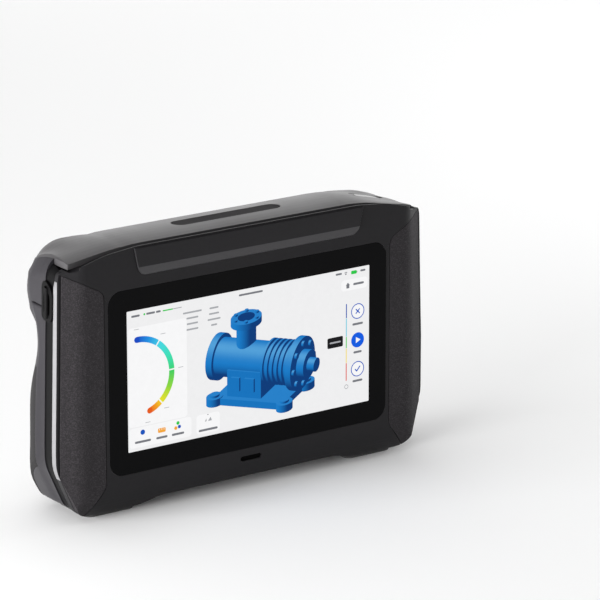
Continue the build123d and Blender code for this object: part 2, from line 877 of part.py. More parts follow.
def make_bar():
    """Camera bar's housing with its centre plate, window and window inserts."""
    body = bar_block()
    housing = body - bar_cavity()
    housing += switch_well(well_wall, 0) & body
    housing -= switch_well(0, overrun)
    housing -= cover_cut()
    groove_back = cover_rear_depth + rear_groove_width
    housing -= top_cut(cover_rear_depth, groove_back, rear_groove_drop)
    housing -= cap_pockets()

    face = rear_plane(0, bar_depth, lens_height)
    low = bar_bottom + lip_height - lens_height
    high = rim_height - bar_top_drop - centre_plate_margin - lens_height
    plate_outline = Pos(0, (low + high) / 2) * Rectangle(2 * centre_plate_half_width, high - low)
    plate = on_plane(face, plate_outline, -centre_plate_thickness, 0)
    housing -= on_plane(face, plate_outline, -centre_plate_thickness, overrun)
    groove = Pos(0, low - lip_groove_width / 2) * Rectangle(2 * half_width, lip_groove_width)
    housing -= on_plane(face, groove, -lip_groove_depth, overrun)

    window_outline = stadium(window_length, window_height)
    window = on_plane(face, window_outline, window_proud - window_thickness, window_proud)
    seat = on_plane(face, window_outline, window_proud - window_thickness, overrun)
    plate -= seat
    housing -= seat

    post_u = bench_length / 2 - bench_post_margin
    post_v = bench_height / 2 - bench_post_margin
    for x in (-1, 1):
        for z in (-1, 1):
            post = Pos(x * post_u, z * post_v)
            housing += on_plane(face, post * Circle(bench_post_radius), -wall - bench_post_length, -wall)
    bench_top = -wall - bench_post_length
    bench = on_plane(face, Rectangle(bench_length, bench_height), bench_top - bench_thickness, bench_top)

    lens_place = Pos(texture_lens_u, 0)
    ring = Circle(texture_lens_radius)
    texture_lens = framed_insert(lens_place, face, ring, Circle(texture_lens_radius - insert_rim))
    square = RectangleRounded(projector_size, projector_size, projector_radius)
    hollow_size = projector_size - 2 * insert_rim
    square_hollow = RectangleRounded(hollow_size, hollow_size, projector_radius - insert_rim / 2)
    projectors = [framed_insert(Pos(u, 0), face, square, square_hollow) for u in projector_us]
    laser = RectangleRounded(laser_width, laser_height, laser_radius)
    laser_hollow = RectangleRounded(laser_width - 2 * insert_rim, laser_height - 2 * insert_rim,
                                    laser_radius - insert_rim / 2)
    lasers = [framed_insert(place, face, laser, laser_hollow) for place in laser_places()]
    outlines = [lens_place * ring]
    outlines += [Pos(u, 0) * square for u in projector_us]
    outlines += [place * laser for place in laser_places()]
    for outline in outlines:
        window -= on_plane(face, outline, window_proud - insert_thickness, overrun)

    for side in sides.values():
        opening = stadium(pod_length, pod_height, -fit_gap)
        cut = on_plane(pod_plane(side), opening, -pod_body_depth - overrun, overrun)
        housing -= cut
        plate -= cut
    return {
        "camera_housing": housing,
        "centre_plate": plate,
        "centre_window": window,
        "optical_bench": bench,
        "texture_camera": texture_lens,
        "pattern_projectors": Compound(children=[piece.solid() for piece in projectors]),
        "laser_emitters": Compound(children=[piece.solid() for piece in lasers]),
    }


def make_pod(name, side):
    """One camera pod: shell, dark window, main lens in its barrel, side lens and lamps."""
    plane = pod_plane(side)
    shell = on_plane(plane, stadium(pod_length, pod_height), -pod_body_depth, 0)
    glass_outline = stadium(pod_length, pod_height, pod_rim)
    shell -= on_plane(plane, glass_outline, -pod_glass_thickness, overrun)
    floor = -pod_body_depth + pod_floor
    shell -= on_plane(plane, stadium(pod_length, pod_height, pod_wall), floor, overrun)
    glass = on_plane(plane, glass_outline, -pod_glass_thickness, 0)
    main_place = Pos(main_lens_u, 0)
    side_place = Pos(side_lens_u, 0)
    glass -= on_plane(plane, main_place * Circle(main_lens_radius), -overrun, overrun)
    glass -= on_plane(plane, side_place * Circle(side_lens_radius), -overrun, overrun)

    top = -pod_glass_thickness
    bore = main_lens_radius - main_cone_drop
    seat = top - main_cone_depth - main_lens_bore_depth
    barrel_radius = main_lens_radius + main_barrel_wall
    barrel = turned([
        (0, floor),
        (barrel_radius, floor),
        (barrel_radius, top),
        (main_lens_radius, top),
        (bore, top - main_cone_depth),
        (bore, seat),
        (0, seat),
    ])
    lens_radius = bore - fit_gap
    edge = top - main_cone_depth - main_lens_dome
    dome = TangentArc((0, edge + main_lens_dome), (lens_radius, edge), tangent=(1, 0))
    rest = Polyline((lens_radius, edge), (lens_radius, seat), (0, seat), (0, edge + main_lens_dome))
    lens = revolve(Plane.XZ * make_face([dome, *rest.edges()]), Axis.Z)

    side_barrel_radius = side_lens_radius + side_barrel_wall
    side_low = top - side_recess
    side_dome_curve = TangentArc((0, side_low + side_dome), (side_dome_radius, side_low), tangent=(1, 0))
    side_rest = Polyline(
        (side_dome_radius, side_low),
        (side_lens_radius, top),
        (side_barrel_radius, top),
        (side_barrel_radius, floor),
        (0, floor),
        (0, side_low + side_dome),
    )
    side_lens = revolve(Plane.XZ * make_face([side_dome_curve, *side_rest.edges()]), Axis.Z)

    chip = Rectangle(lamp_size, lamp_size)
    lamps = [on_plane(plane, place * chip, -lamp_sink, 0) for place in lamp_places()]
    fills = [on_plane(plane, place * Circle(fill_lamp_radius), -lamp_sink, 0) for place in fill_places()]
    for lamp in lamps + fills:
        glass -= lamp
    return {
        f"pod_shell_{name}": shell,
        f"pod_window_{name}": glass,
        f"lens_barrel_{name}": plane.location * main_place * barrel,
        f"main_lens_{name}": plane.location * main_place * lens,
        f"side_lens_{name}": plane.location * side_place * side_lens,
        f"ring_lamps_{name}": Compound(children=[lamp.solid() for lamp in lamps]),
        f"fill_lamps_{name}": Compound(children=[lamp.solid() for lamp in fills]),
    }


def pad_mask(side):
    """Region of a rubber pad: its outline from behind, back from the seam."""
    outer_x = half_width + overrun
    inner_x = half_width - pad_inner_inset
    points = [
        (side * inner_x, pad_bottom_z),
        (side * outer_x, pad_bottom_z),
        (side * outer_x, bar_bottom - pad_top_outer_drop),
        (side * inner_x, bar_bottom - pad_top_inner_drop),
    ]
    outline = rounded(points, [pad_radius, 0, 0, pad_radius])
    return front_prism(outline, pad_front_depth, crest_depth + overrun)


def grille_holes():
    """Graded holes in staggered rows, smaller towards the border of the pattern."""
    holes = []
    for row in range(grille_rows):
        stagger = row % 2
        for column in range(grille_columns - stagger):
            x = (column - (grille_columns - 1 - stagger) / 2) * grille_pitch
            z = grille_bottom_z + row * grille_row_pitch
            ring = min(row, grille_rows - 1 - row, column, grille_columns - 1 - stagger - column)
            share = grille_edge_shares[ring] if ring < len(grille_edge_shares) else 1
            holes.append(Pos(x, z) * RegularPolygon(grille_hole / 2 * share, 6, rotation=30))
    return holes


def make_rear():
    """Rear cover with its grips, rubber pads, air grille and tripod bush."""
    body = rear_block() & front_prism(body_outline(rear_inset), seam_depth, crest_depth + overrun)
    cavity = rear_block(wall)
    cavity &= front_prism(body_outline(rear_inset + wall), seam_depth - overrun, crest_depth + overrun)
    bar = front_prism(bar_outline(top_corner_radius), seam_depth - overrun, crest_depth + overrun)
    skin = body - rear_block(pad_thickness)
    cover = body - cavity - bar
    pieces = {}
    for name, side in sides.items():
        pad = skin & pad_mask(side)
        cover -= pad
        pieces[f"rear_grip_{name}"] = pad

    grille_place = Pos(0, grille_centre_z)
    grille_outline = RectangleRounded(grille_width + 2 * grille_margin, grille_height + 2 * grille_margin,
                                      grille_corner_radius)
    cover -= front_prism(grille_place * grille_outline, back_depth - wall, back_depth + overrun)
    grille = front_prism(grille_place * grille_outline - grille_holes(), back_depth - wall, back_depth)

    low = arch_height + rear_inset
    inside = low + wall
    bush_place = Pos(0, bush_depth)
    cover -= plan_prism(bush_place * Circle(bush_radius), low - overrun, inside + overrun)
    bush = plan_prism(bush_place * Circle(bush_radius), low, low + bush_length)
    bush += plan_prism(bush_place * Circle(bush_flange_radius), inside, inside + bush_flange_thickness)
    bush -= plan_prism(bush_place * Circle(bush_bore_radius), low - overrun, low + bush_length + overrun)
    cover -= cap_pockets()
    return {"rear_cover": cover, "air_grille": grille, "tripod_bush": bush, **pieces}


def make_fan():
    """Cooling fan behind the grille: a square housing with struts and a bladed rotor on its pin."""
    back = back_depth - wall
    front = back - fan_depth
    place = Pos(0, grille_centre_z)
    frame_outline = RectangleRounded(fan_size, fan_size, fan_corner_radius) - Circle(fan_bore_radius)
    housing = front_prism(place * frame_outline, front, back)
    plate_back = front + fan_plate_thickness
    spokes = Circle(fan_plate_radius)
    for i in range(fan_strut_count):
        reach = (fan_bore_radius + fan_size / 2) / 2
        strut = Pos(reach / 2, 0) * Rectangle(reach, fan_strut_width)
        spokes += Rot(0, 0, i * 360 / fan_strut_count) * strut
    housing += front_prism(place * spokes, front, plate_back)
    housing += rod(0, grille_centre_z, fan_pin_radius, plate_back, plate_back + fan_pin_length)

    rotor_front = plate_back + fan_axial_gap
    rotor_back = rotor_front + fan_rotor_height
    hub = Cylinder(fan_hub_radius, fan_rotor_height)
    tip = fan_bore_radius - fan_tip_gap
    sweep = Cylinder(tip, fan_rotor_height)
    sweep -= Cylinder(fan_hub_radius - fan_blade_thickness, fan_rotor_height)
    blades = []
    for i in range(fan_blade_count):
        blade = Box(tip, fan_blade_thickness, 2 * fan_rotor_height)
        blade = Pos(tip / 2, 0, 0) * Rot(fan_blade_pitch, 0, 0) * blade
        blades.append(Rot(0, 0, i * 360 / fan_blade_count) * blade)
    rotor = hub
    for blade in blades:
        rotor += blade & sweep
    mid = (rotor_front + rotor_back) / 2
    rotor = front_plane(mid).location * Pos(0, grille_centre_z, 0) * rotor
    bore_back = plate_back + fan_pin_length + fan_axial_gap
    rotor -= rod(0, grille_centre_z, fan_pin_radius + shaft_gap, rotor_front - overrun, bore_back)
    return {"fan_housing": housing, "fan_rotor": rotor}


def make_insides():
    """Main board, heat sink, battery cells and chassis screws."""
    back = board_depth + board_thickness
    board = block(-board_width / 2, board_width / 2, board_depth, back,
                  board_centre_z - board_height / 2, board_centre_z + board_height / 2)
    low = grille_centre_z - sink_size / 2
    high = grille_centre_z + sink_size / 2
    sink = block(-sink_size / 2, sink_size / 2, back, back + sink_base, low, high)
    spacing = (sink_size - sink_fin_thickness) / (sink_fin_count - 1)
    for i in range(sink_fin_count):
        x = -sink_size / 2 + i * spacing
        sink += block(x, x + sink_fin_thickness, back + sink_base, back + sink_height, low, high)
    pieces = {"main_board": board, "heat_sink": sink}
    screws = []
    for name, side in sides.items():
        pieces[f"battery_{name}"] = cell_rod(side, cell_radius, cell_bottom_z, cell_bottom_z + cell_length)
        for z in boss_heights:
            head_back = plate_back_depth + screw_head_height
            tip = strip_depth - screw_length + fit_gap
            screw = rod(side * boss_x, z, screw_head_radius, plate_back_depth, head_back)
            screw += rod(side * boss_x, z, screw_radius, tip, plate_back_depth)
            screws.append(screw)
    pieces["chassis_screws"] = Compound(children=[screw.solid() for screw in screws])
    return pieces


def make_trim():
    """Feet, side cap, strap lug and charging port."""
    pieces = {}
    middle = (foot_front_depth + foot_rear_depth) / 2
    length = foot_rear_depth - foot_front_depth
    foot_x = (foot_inner_x + foot_outer_x) / 2
    outline = RectangleRounded(foot_outer_x - foot_inner_x, length, foot_corner_radius)
    for name, side in sides.items():
        pieces[f"foot_{name}"] = plan_prism(Pos(side * foot_x, middle) * outline, 0, foot_height)

    outer = half_width - cap_face_inset
    inner = outer - cap_thickness
    ring_floor = outer - cap_ring_depth
    cap = side_rod(1, cap_depth, cap_height, cap_radius, inner, outer)
    ring = side_rod(1, cap_depth, cap_height, cap_ring_radius, ring_floor, outer + overrun)
    ring -= side_rod(1, cap_depth, cap_height, cap_ring_radius - cap_ring_width, inner, outer + overrun)
    pieces["side_cap"] = cap - ring

    face = half_width + lug_proud
    lug = side_prism(-1, lug_outline(), half_width - lug_seat, face)
    slot = Pos(lug_depth, cap_height) * Rot(0, 0, 90) * stadium(lug_slot_height, lug_slot_width)
    lug -= side_prism(-1, slot, half_width + lug_proud - lug_seat, face + overrun)
    bar_half_height = lug_slot_height / 2 + lug_bar_reach
    bar = Pos(-face, lug_depth) * Circle(lug_bar_radius)
    lug += plan_prism(bar, cap_height - bar_half_height, cap_height + bar_half_height)
    pieces["strap_lug"] = lug

    port = port_block(fit_gap, port_length)
    pocket = port_block(fit_gap + port_wall, port_length)
    port -= Pos(0, 0, -port_wall) * pocket
    pieces["charging_port"] = port
    return pieces


def main():
    """Build every piece and write each to its own file."""
    pieces = {}
    pieces.update(make_screen())
    pieces.update(make_front())
    pieces.update(make_frame())
    pieces.update(make_top())
    pieces.update(make_bar())
    for name, side in sides.items():
        pieces.update(make_pod(name, side))
    pieces.update(make_rear())
    pieces.update(make_fan())
    pieces.update(make_insides())
    pieces.update(make_trim())
    os.makedirs("parts", exist_ok=True)
    for node, shape in pieces.items():
        export_step(shape, f"parts/{node}.step")


main()
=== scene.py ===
"""Looks of a handheld 3-D scanner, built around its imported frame.

The frame's pieces get procedural finishes, and copies of the case's pieces get the body's round ends. This
file adds the lit picture on the screen, the coated lenses, the faces of the lamp chips, the lips of the
grille's holes, the studio and the camera. Lengths are millimetres in the fields of the object's classes and
metres in Blender and in the studio.
"""
from __future__ import annotations

import json
import logging
import math
from dataclasses import dataclass, field
from enum import Enum
from typing import Sequence

import bmesh
import bpy
from mathutils import Matrix, Vector
from mathutils.bvhtree import BVHTree


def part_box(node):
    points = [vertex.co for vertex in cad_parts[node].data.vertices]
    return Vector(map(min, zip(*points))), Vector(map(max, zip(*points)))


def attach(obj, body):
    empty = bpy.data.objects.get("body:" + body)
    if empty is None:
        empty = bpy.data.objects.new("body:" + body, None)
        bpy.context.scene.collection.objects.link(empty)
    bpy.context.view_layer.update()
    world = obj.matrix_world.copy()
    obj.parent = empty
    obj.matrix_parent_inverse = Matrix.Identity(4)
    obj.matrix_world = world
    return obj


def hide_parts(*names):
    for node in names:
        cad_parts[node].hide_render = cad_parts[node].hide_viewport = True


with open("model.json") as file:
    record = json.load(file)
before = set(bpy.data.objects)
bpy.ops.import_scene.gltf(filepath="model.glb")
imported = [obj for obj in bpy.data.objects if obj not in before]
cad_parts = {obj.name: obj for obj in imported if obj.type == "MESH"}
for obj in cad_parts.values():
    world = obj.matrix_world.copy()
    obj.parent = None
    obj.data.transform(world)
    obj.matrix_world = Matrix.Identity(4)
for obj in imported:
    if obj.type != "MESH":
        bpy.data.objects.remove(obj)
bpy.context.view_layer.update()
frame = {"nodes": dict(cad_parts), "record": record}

log = logging.getLogger("scanner")
MM = 0.001
BODY = "body"
Colour = tuple[float, float, float]
Display = tuple[int, int, int]
Point = tuple[float, float]
Span = tuple[float, float]
Place = tuple[float, float, float]
Object, Material = bpy.types.Object, bpy.types.Material
Tree, Node, Socket = bpy.types.NodeTree, bpy.types.Node, bpy.types.NodeSocket


def linear(*display: int) -> Colour:
    """Turns a display colour into a linear one.

    Args:
        display: Red, green and blue from 0 to 255.

    Returns:
        The colour that the shaders use.
    """
    knee, slope, offset, power = 0.04045, 12.92, 0.055, 2.4
    values = (channel / 255 for channel in display)
    return tuple(v / slope if v <= knee else ((v + offset) / (1 + offset)) ** power for v in values)


def rgba(colour: Colour) -> tuple[float, float, float, float]:
    """Adds a full alpha to a colour."""
    return (*colour, 1.0)


class Graph:
    """Adds and joins the nodes of one tree."""

    MIX_INPUTS = (0, 6, 7)
    MIX_RESULT = 2

    def __init__(self, tree: Tree) -> None:
        """Keeps the tree and clears it."""
        self.tree = tree
        tree.nodes.clear()

    def add(self, kind: str, values: dict[str, object] | None = None, **settings: object) -> Node:
        """Adds a node.

        Args:
            kind: Type name of the node.
            values: Input values or sockets, by the name of the input.
            settings: Properties of the node.

        Returns:
            The new node.
        """
        node = self.tree.nodes.new(kind)
        for name, value in settings.items():
            setattr(node, name, value)
        for name, value in (values or {}).items():
            self.feed(value, node.inputs[name])
        return node

    def feed(self, source: object, socket: Socket) -> None:
        """Links a socket or a node's first output to an input, or sets the input's value.

        Args:
            source: Socket, node or plain value.
            socket: The input.
        """
        if isinstance(source, Node):
            source = source.outputs[0]
        if isinstance(source, Socket):
            self.tree.links.new(source, socket)
        else:
            socket.default_value = source

    def math(self, operation: str, *operands: object) -> Socket:
        """Adds a Math node.

        Args:
            operation: Name of the operation.
            operands: Sockets or values, in the order of the inputs.

        Returns:
            The node's result.
        """
        node = self.add("ShaderNodeMath", operation=operation)
        for socket, operand in zip(node.inputs, operands):
            self.feed(operand, socket)
        return node.outputs[0]

    def spread(self, value: object, low: float, high: float) -> Socket:
        """Maps a value from 0 to 1 onto a range."""
        return self.add("ShaderNodeMapRange", {"Value": value, "To Min": low, "To Max": high}).outputs[0]

    def mix(self, kind: str, *operands: object) -> Socket:
        """Adds a colour Mix node.

        Args:
            kind: How it mixes.
            operands: The share and the two colours, as sockets or values.

        Returns:
            The node's result.
        """
        node = self.add("ShaderNodeMix", data_type="RGBA", blend_type=kind)
        for place, operand in zip(self.MIX_INPUTS, operands):
            self.feed(operand, node.inputs[place])
        return node.outputs[self.MIX_RESULT]

    def blend(self, share: object, *tones: Display) -> Socket:
        """Mixes two display colours by a share."""
        return self.mix("MIX", share, *(rgba(linear(*tone)) for tone in tones))


class Effect(Enum):
    """Surface effects that several finishes share, each one shader node group."""

    GRAIN = "mould_grain"
    PEBBLE = "rubber_pebble"
    HANDLING = "handling_marks"


class EffectLibrary:
    """Builds each shared effect once."""

    PEBBLE_ROUND = 1.6
    PEBBLE_RARE = 3.0

    def __init__(self) -> None:
        """Builds every group."""
        self.groups: dict[Effect, Tree] = {
            Effect.GRAIN: self._grain(),
            Effect.PEBBLE: self._pebble(),
            Effect.HANDLING: self._handling(),
        }

    @staticmethod
    def _open(effect: Effect, outputs: Sequence[str]) -> tuple[Graph, Socket, Node]:
        """Starts a group with one input, the size of its pattern in metres.

        Args:
            effect: The effect that the group makes.
            outputs: Names of its outputs.

        Returns:
            The group's graph, its coordinates scaled to the pattern, and its output node.
        """
        tree = bpy.data.node_groups.new(effect.value, "ShaderNodeTree")
        tree.interface.new_socket(name="Size", in_out="INPUT", socket_type="NodeSocketFloat")
        for name in outputs:
            tree.interface.new_socket(name=name, in_out="OUTPUT", socket_type="NodeSocketFloat")
        graph = Graph(tree)
        size = graph.add("NodeGroupInput").outputs["Size"]
        place = graph.add("ShaderNodeTexCoord").outputs["Object"]
        scaled = graph.add("ShaderNodeVectorMath", operation="SCALE")
        graph.feed(place, scaled.inputs[0])
        graph.feed(graph.math("DIVIDE", 1.0, size), scaled.inputs["Scale"])
        return graph, scaled.outputs[0], graph.add("NodeGroupOutput")

    @staticmethod
    def _noise(graph: Graph, place: Socket, **values: float) -> Socket:
        """Adds a noise texture with some of its values set, and returns its result."""
        inputs = {name.title(): value for name, value in values.items()}
        return graph.add("ShaderNodeTexNoise", {"Vector": place, **inputs}).outputs[0]

    def _grain(self) -> Tree:
        """Builds the fine even grain of a spark-eroded mould.

        Returns:
            The group.
        """
        graph, place, end = self._open(Effect.GRAIN, ("Height", "Tone"))
        fine = self._noise(graph, place, scale=1.0, detail=2.0, roughness=0.6)
        graph.feed(fine, end.inputs["Height"])
        broad = self._noise(graph, place, scale=0.22, detail=4.0, roughness=0.7)
        graph.feed(broad, end.inputs["Tone"])
        return graph.tree

    def _pebble(self) -> Tree:
        """Builds the small rounded pebbles of a rubber grip, some paler than others.

        Returns:
            The group.
        """
        graph, place, end = self._open(Effect.PEBBLE, ("Height", "Tone"))
        cells = graph.add("ShaderNodeTexVoronoi", {"Vector": place, "Scale": 1.0})
        dome = graph.math("SUBTRACT", 1.0, cells.outputs["Distance"])
        graph.feed(graph.math("POWER", dome, self.PEBBLE_ROUND), end.inputs["Height"])
        pick = graph.add("ShaderNodeSeparateColor", {"Color": cells.outputs["Color"]}).outputs[0]
        graph.feed(graph.math("POWER", pick, self.PEBBLE_RARE), end.inputs["Tone"])
        return graph.tree

    def _handling(self) -> Tree:
        """Builds the broad soft marks from handling, which vary the gloss.

        Returns:
            The group.
        """
        graph, place, end = self._open(Effect.HANDLING, ("Gloss",))
        soft = self._noise(graph, place, scale=1.0, detail=5.0, roughness=0.62, distortion=0.4)
        graph.feed(soft, end.inputs["Gloss"])
        return graph.tree

    def place(self, graph: Graph, effect: Effect, size_mm: float) -> Node:
        """Places an effect in a material.

        Args:
            graph: The material's graph.
            effect: Which effect.
            size_mm: Size of its pattern.

        Returns:
            The group's node.
        """
        node = graph.add("ShaderNodeGroup", node_tree=self.groups[effect])
        node.inputs["Size"].default_value = size_mm * MM
        return node


effects = EffectLibrary()


class Look:
    """One material, built on first use."""

    name: str

    def material(self) -> Material:
        """Finds the material, or builds it.

        Returns:
            The material.
        """
        made = bpy.data.materials.get(self.name)
        if made is None:
            made = bpy.data.materials.new(self.name)
            made.use_nodes = True
            graph = Graph(made.node_tree)
            graph.add("ShaderNodeOutputMaterial", {"Surface": self.shader(graph)})
        return made

    def shader(self, graph: Graph) -> Node:
        """Adds the shader to the material's graph and returns it."""
        raise NotImplementedError


@dataclass(frozen=True)
class Finish(Look):
    """One opaque finish: moulded plastic, rubber, paint or metal.

    The colour varies between deep and pale, the gloss varies with handling, and the relief comes from the
    effect at its own size.
    """

    name: str
    deep: Display
    pale: Display
    roughness: float
    effect: Effect = Effect.GRAIN
    size_mm: float = 0.35
    relief_mm: float = 0.02
    gloss_spread: float = 0.08
    metallic: float = 0.0
    specular: float = 0.5
    coat: float = 0.0
    edge_mm: float = 0.3
    MARKS_MM = 28.0
    LEAST_ROUGHNESS = 0.02
    COAT_ROUGHNESS = 0.05
    EDGE_SAMPLES = 4

    def shader(self, graph: Graph) -> Node:
        """Adds the finish's shader.

        Args:
            graph: The material's graph.

        Returns:
            The shader.
        """
        grain = effects.place(graph, self.effect, self.size_mm)
        marks = effects.place(graph, Effect.HANDLING, self.MARKS_MM)
        low = max(self.roughness - self.gloss_spread, self.LEAST_ROUGHNESS)
        shader = graph.add("ShaderNodeBsdfPrincipled", {
            "Base Color": graph.blend(grain.outputs["Tone"], self.deep, self.pale),
            "Roughness": graph.spread(marks.outputs["Gloss"], low, self.roughness + self.gloss_spread),
            "Metallic": self.metallic,
            "Specular IOR Level": self.specular,
            "Coat Weight": self.coat,
            "Coat Roughness": self.COAT_ROUGHNESS,
        })
        edge = graph.add("ShaderNodeBevel", {"Radius": self.edge_mm * MM}, samples=self.EDGE_SAMPLES)
        bump = graph.add("ShaderNodeBump", {
            "Strength": 1.0,
            "Distance": self.relief_mm * MM,
            "Height": grain.outputs["Height"],
            "Normal": edge,
        })
        graph.feed(bump.outputs[0], shader.inputs["Normal"])
        return shader


@dataclass(frozen=True)
class Painted(Look):
    """Finish whose colours are carried by the piece's own colour attribute.

    A lit one glows with them, as the screen does. The others show them as the colour of a coated surface.
    """

    name: str
    lit: bool
    roughness: float = 0.08
    specular: float = 0.2
    coat: float = 0.0
    glow: float = 0.98
    ATTRIBUTE = "Paint"
    GRAIN_MM = 0.6
    GRAIN_TONES = (0.96, 1.03)
    MARKS_MM = 34.0
    MARKS_SPREAD = 0.4
    COAT_ROUGHNESS = 0.03
    UNLIT = ((6, 6, 7), (10, 10, 11))

    def shader(self, graph: Graph) -> Node:
        """Adds the finish's shader.

        Args:
            graph: The material's graph.

        Returns:
            The shader.
        """
        grain = effects.place(graph, Effect.GRAIN, self.GRAIN_MM)
        marks = effects.place(graph, Effect.HANDLING, self.MARKS_MM)
        paint = graph.add("ShaderNodeAttribute", attribute_name=self.ATTRIBUTE).outputs["Color"]
        toned = graph.mix("MULTIPLY", 1.0, paint, graph.spread(grain.outputs["Tone"], *self.GRAIN_TONES))
        low, high = self.roughness * (1 - self.MARKS_SPREAD), self.roughness * (1 + self.MARKS_SPREAD)
        shader = graph.add("ShaderNodeBsdfPrincipled", {
            "Roughness": graph.spread(marks.outputs["Gloss"], low, high),
            "Specular IOR Level": self.specular,
            "Coat Weight": self.coat,
            "Coat Roughness": self.COAT_ROUGHNESS,
        })
        if self.lit:
            dark = graph.blend(grain.outputs["Tone"], *self.UNLIT)
            graph.feed(dark, shader.inputs["Base Color"])
            graph.feed(toned, shader.inputs["Emission Color"])
            shader.inputs["Emission Strength"].default_value = self.glow
        else:
            graph.feed(toned, shader.inputs["Base Color"])
        return shader


@dataclass(frozen=True)
class Backdrop(Look):
    """Even matt finish without a gloss."""

    name: str
    tone: Colour
    roughness: float

    def shader(self, graph: Graph) -> Node:
        """Adds the plain shader and returns it."""
        values = {"Base Color": rgba(self.tone), "Roughness": self.roughness, "Specular IOR Level": 0.0}
        return graph.add("ShaderNodeBsdfPrincipled", values)


SHELL = Finish("charcoal_shell", (26, 25, 27), (33, 32, 34), 0.42, relief_mm=0.010, specular=0.15)
BROW = Finish("brow_plastic", (28, 27, 29), (35, 34, 36), 0.38, relief_mm=0.008, specular=0.15)
REAR = Finish("satin_rear_shell", (42, 41, 44), (48, 46, 50), 0.38, relief_mm=0.008, specular=0.18)
TOP = Finish("satin_top", (62, 61, 62), (70, 68, 70), 0.34, relief_mm=0.004, specular=0.4)
BAND = Finish("dark_band", (7, 7, 8), (12, 11, 12), 0.50, relief_mm=0.012, specular=0.1)
TRIM = Finish("satin_trim", (184, 183, 186), (196, 195, 198), 0.34, metallic=1.0, relief_mm=0.002)
PANEL = Finish("pebbled_panel", (38, 36, 38), (62, 59, 62), 0.66, Effect.PEBBLE, 0.30, 0.02, specular=0.12)
RUBBER = Finish("grip_rubber", (28, 27, 28), (40, 39, 40), 0.62, Effect.PEBBLE, 0.42, 0.02, specular=0.2)
FOOT = Finish("foot_rubber", (58, 57, 59), (70, 69, 71), 0.60, relief_mm=0.02, specular=0.2)
BLACK_GLASS = Finish("black_glass", (7, 7, 8), (10, 10, 11), 0.07, size_mm=6.0, relief_mm=0.0004,
                     gloss_spread=0.03, specular=0.05)
WINDOW = Finish("polished_window", (5, 5, 6), (9, 9, 10), 0.06, size_mm=6.0, relief_mm=0.0004,
                gloss_spread=0.02, specular=0.06)
GLOSS = Finish("gloss_black", (8, 8, 9), (13, 13, 14), 0.12, size_mm=4.0, relief_mm=0.001, gloss_spread=0.04)
INLAY = Finish("inlay_satin", (38, 37, 38), (50, 48, 50), 0.70, size_mm=0.5, relief_mm=0.02, specular=0.1)
# Painted highlight: a paler, glossier tone on the brow's downward-facing slope that stands in for the soft
# band of light below its ridge.
BROW_PAINTED_HIGHLIGHT = Finish("brow_painted_highlight", (54, 53, 55), (62, 61, 63), 0.36, relief_mm=0.006, specular=0.3)
MESH = Finish("speaker_weave", (2, 2, 2), (6, 6, 6), 0.80, size_mm=0.3, relief_mm=0.03, specular=0.05)
INNER = Finish("inner_black", (10, 10, 10), (17, 17, 17), 0.65, relief_mm=0.01)
STEEL = Finish("turned_steel", (170, 168, 164), (205, 203, 200), 0.30, metallic=1.0, size_mm=0.2)
BOARD = Finish("circuit_board", (12, 58, 34), (26, 92, 52), 0.45, size_mm=1.4, relief_mm=0.05)
CELL = Finish("cell_wrap", (28, 70, 128), (42, 92, 152), 0.35, size_mm=0.8)
DOME = Finish("dark_dome", (10, 9, 13), (20, 16, 24), 0.05, size_mm=5.0, relief_mm=0.0, gloss_spread=0.02,
              specular=0.8, coat=1.0)
CHIP = Finish("lamp_chip", (196, 190, 160), (232, 228, 206), 0.40, size_mm=0.9, relief_mm=0.02)
CHIP_BAR = Finish("lamp_contact", (24, 22, 20), (48, 44, 38), 0.35, size_mm=0.3, relief_mm=0.004)
EMITTER = Finish("laser_window", (16, 10, 12), (96, 52, 60), 0.12, size_mm=2.6, relief_mm=0.002, specular=0.2)
PROJECTOR = Finish("projector_glass", (24, 24, 26), (66, 65, 68), 0.10, size_mm=2.0, relief_mm=0.002,
                   specular=0.2)
GUIDE = Finish("light_guide", (190, 196, 190), (220, 226, 220), 0.30, size_mm=0.6)
LIT_SCREEN = Painted("lit_screen", True, specular=0.04)
COATED_LENS = Painted("coated_lens", False, 0.05, 0.9, 1.0)


def pair(*kinds: str) -> tuple[str, ...]:
    """Names of the left and the right node of each kind."""
    return tuple(f"{kind}_{side}" for kind in kinds for side in ("left", "right"))


NODE_FINISHES: dict[Finish, tuple[str, ...]] = {
    SHELL: ("front_bezel",),
    BROW: ("brow_trim",),
    REAR: ("rear_cover", "camera_housing"),
    TOP: ("top_cover",),
    BAND: ("mid_frame", "strap_lug", "side_cap"),
    FOOT: pair("foot"),
    TRIM: pair("side_trim"),
    PANEL: pair("front_grip"),
    RUBBER: pair("rear_grip"),
    BLACK_GLASS: ("cover_glass",),
    WINDOW: (*pair("pod_window"), "centre_window"),
    GLOSS: (*pair("pod_shell"), "centre_plate", "power_button"),
    INLAY: ("top_inlay",),
    MESH: ("speaker_mesh",),
    INNER: ("glass_gasket", "display_panel", "speaker", "button_switch", "fan_housing",
            "fan_rotor", "optical_bench", *pair("lens_barrel"), "air_grille"),
    STEEL: ("heat_sink", "chassis_screws", "tripod_bush", "charging_port"),
    BOARD: ("main_board",),
    CELL: pair("battery"),
    DOME: (*pair("main_lens", "side_lens"), "texture_camera", *pair("fill_lamps")),
    CHIP: pair("ring_lamps"),
    EMITTER: ("laser_emitters",),
    PROJECTOR: ("pattern_projectors",),
    GUIDE: ("status_light",),
}


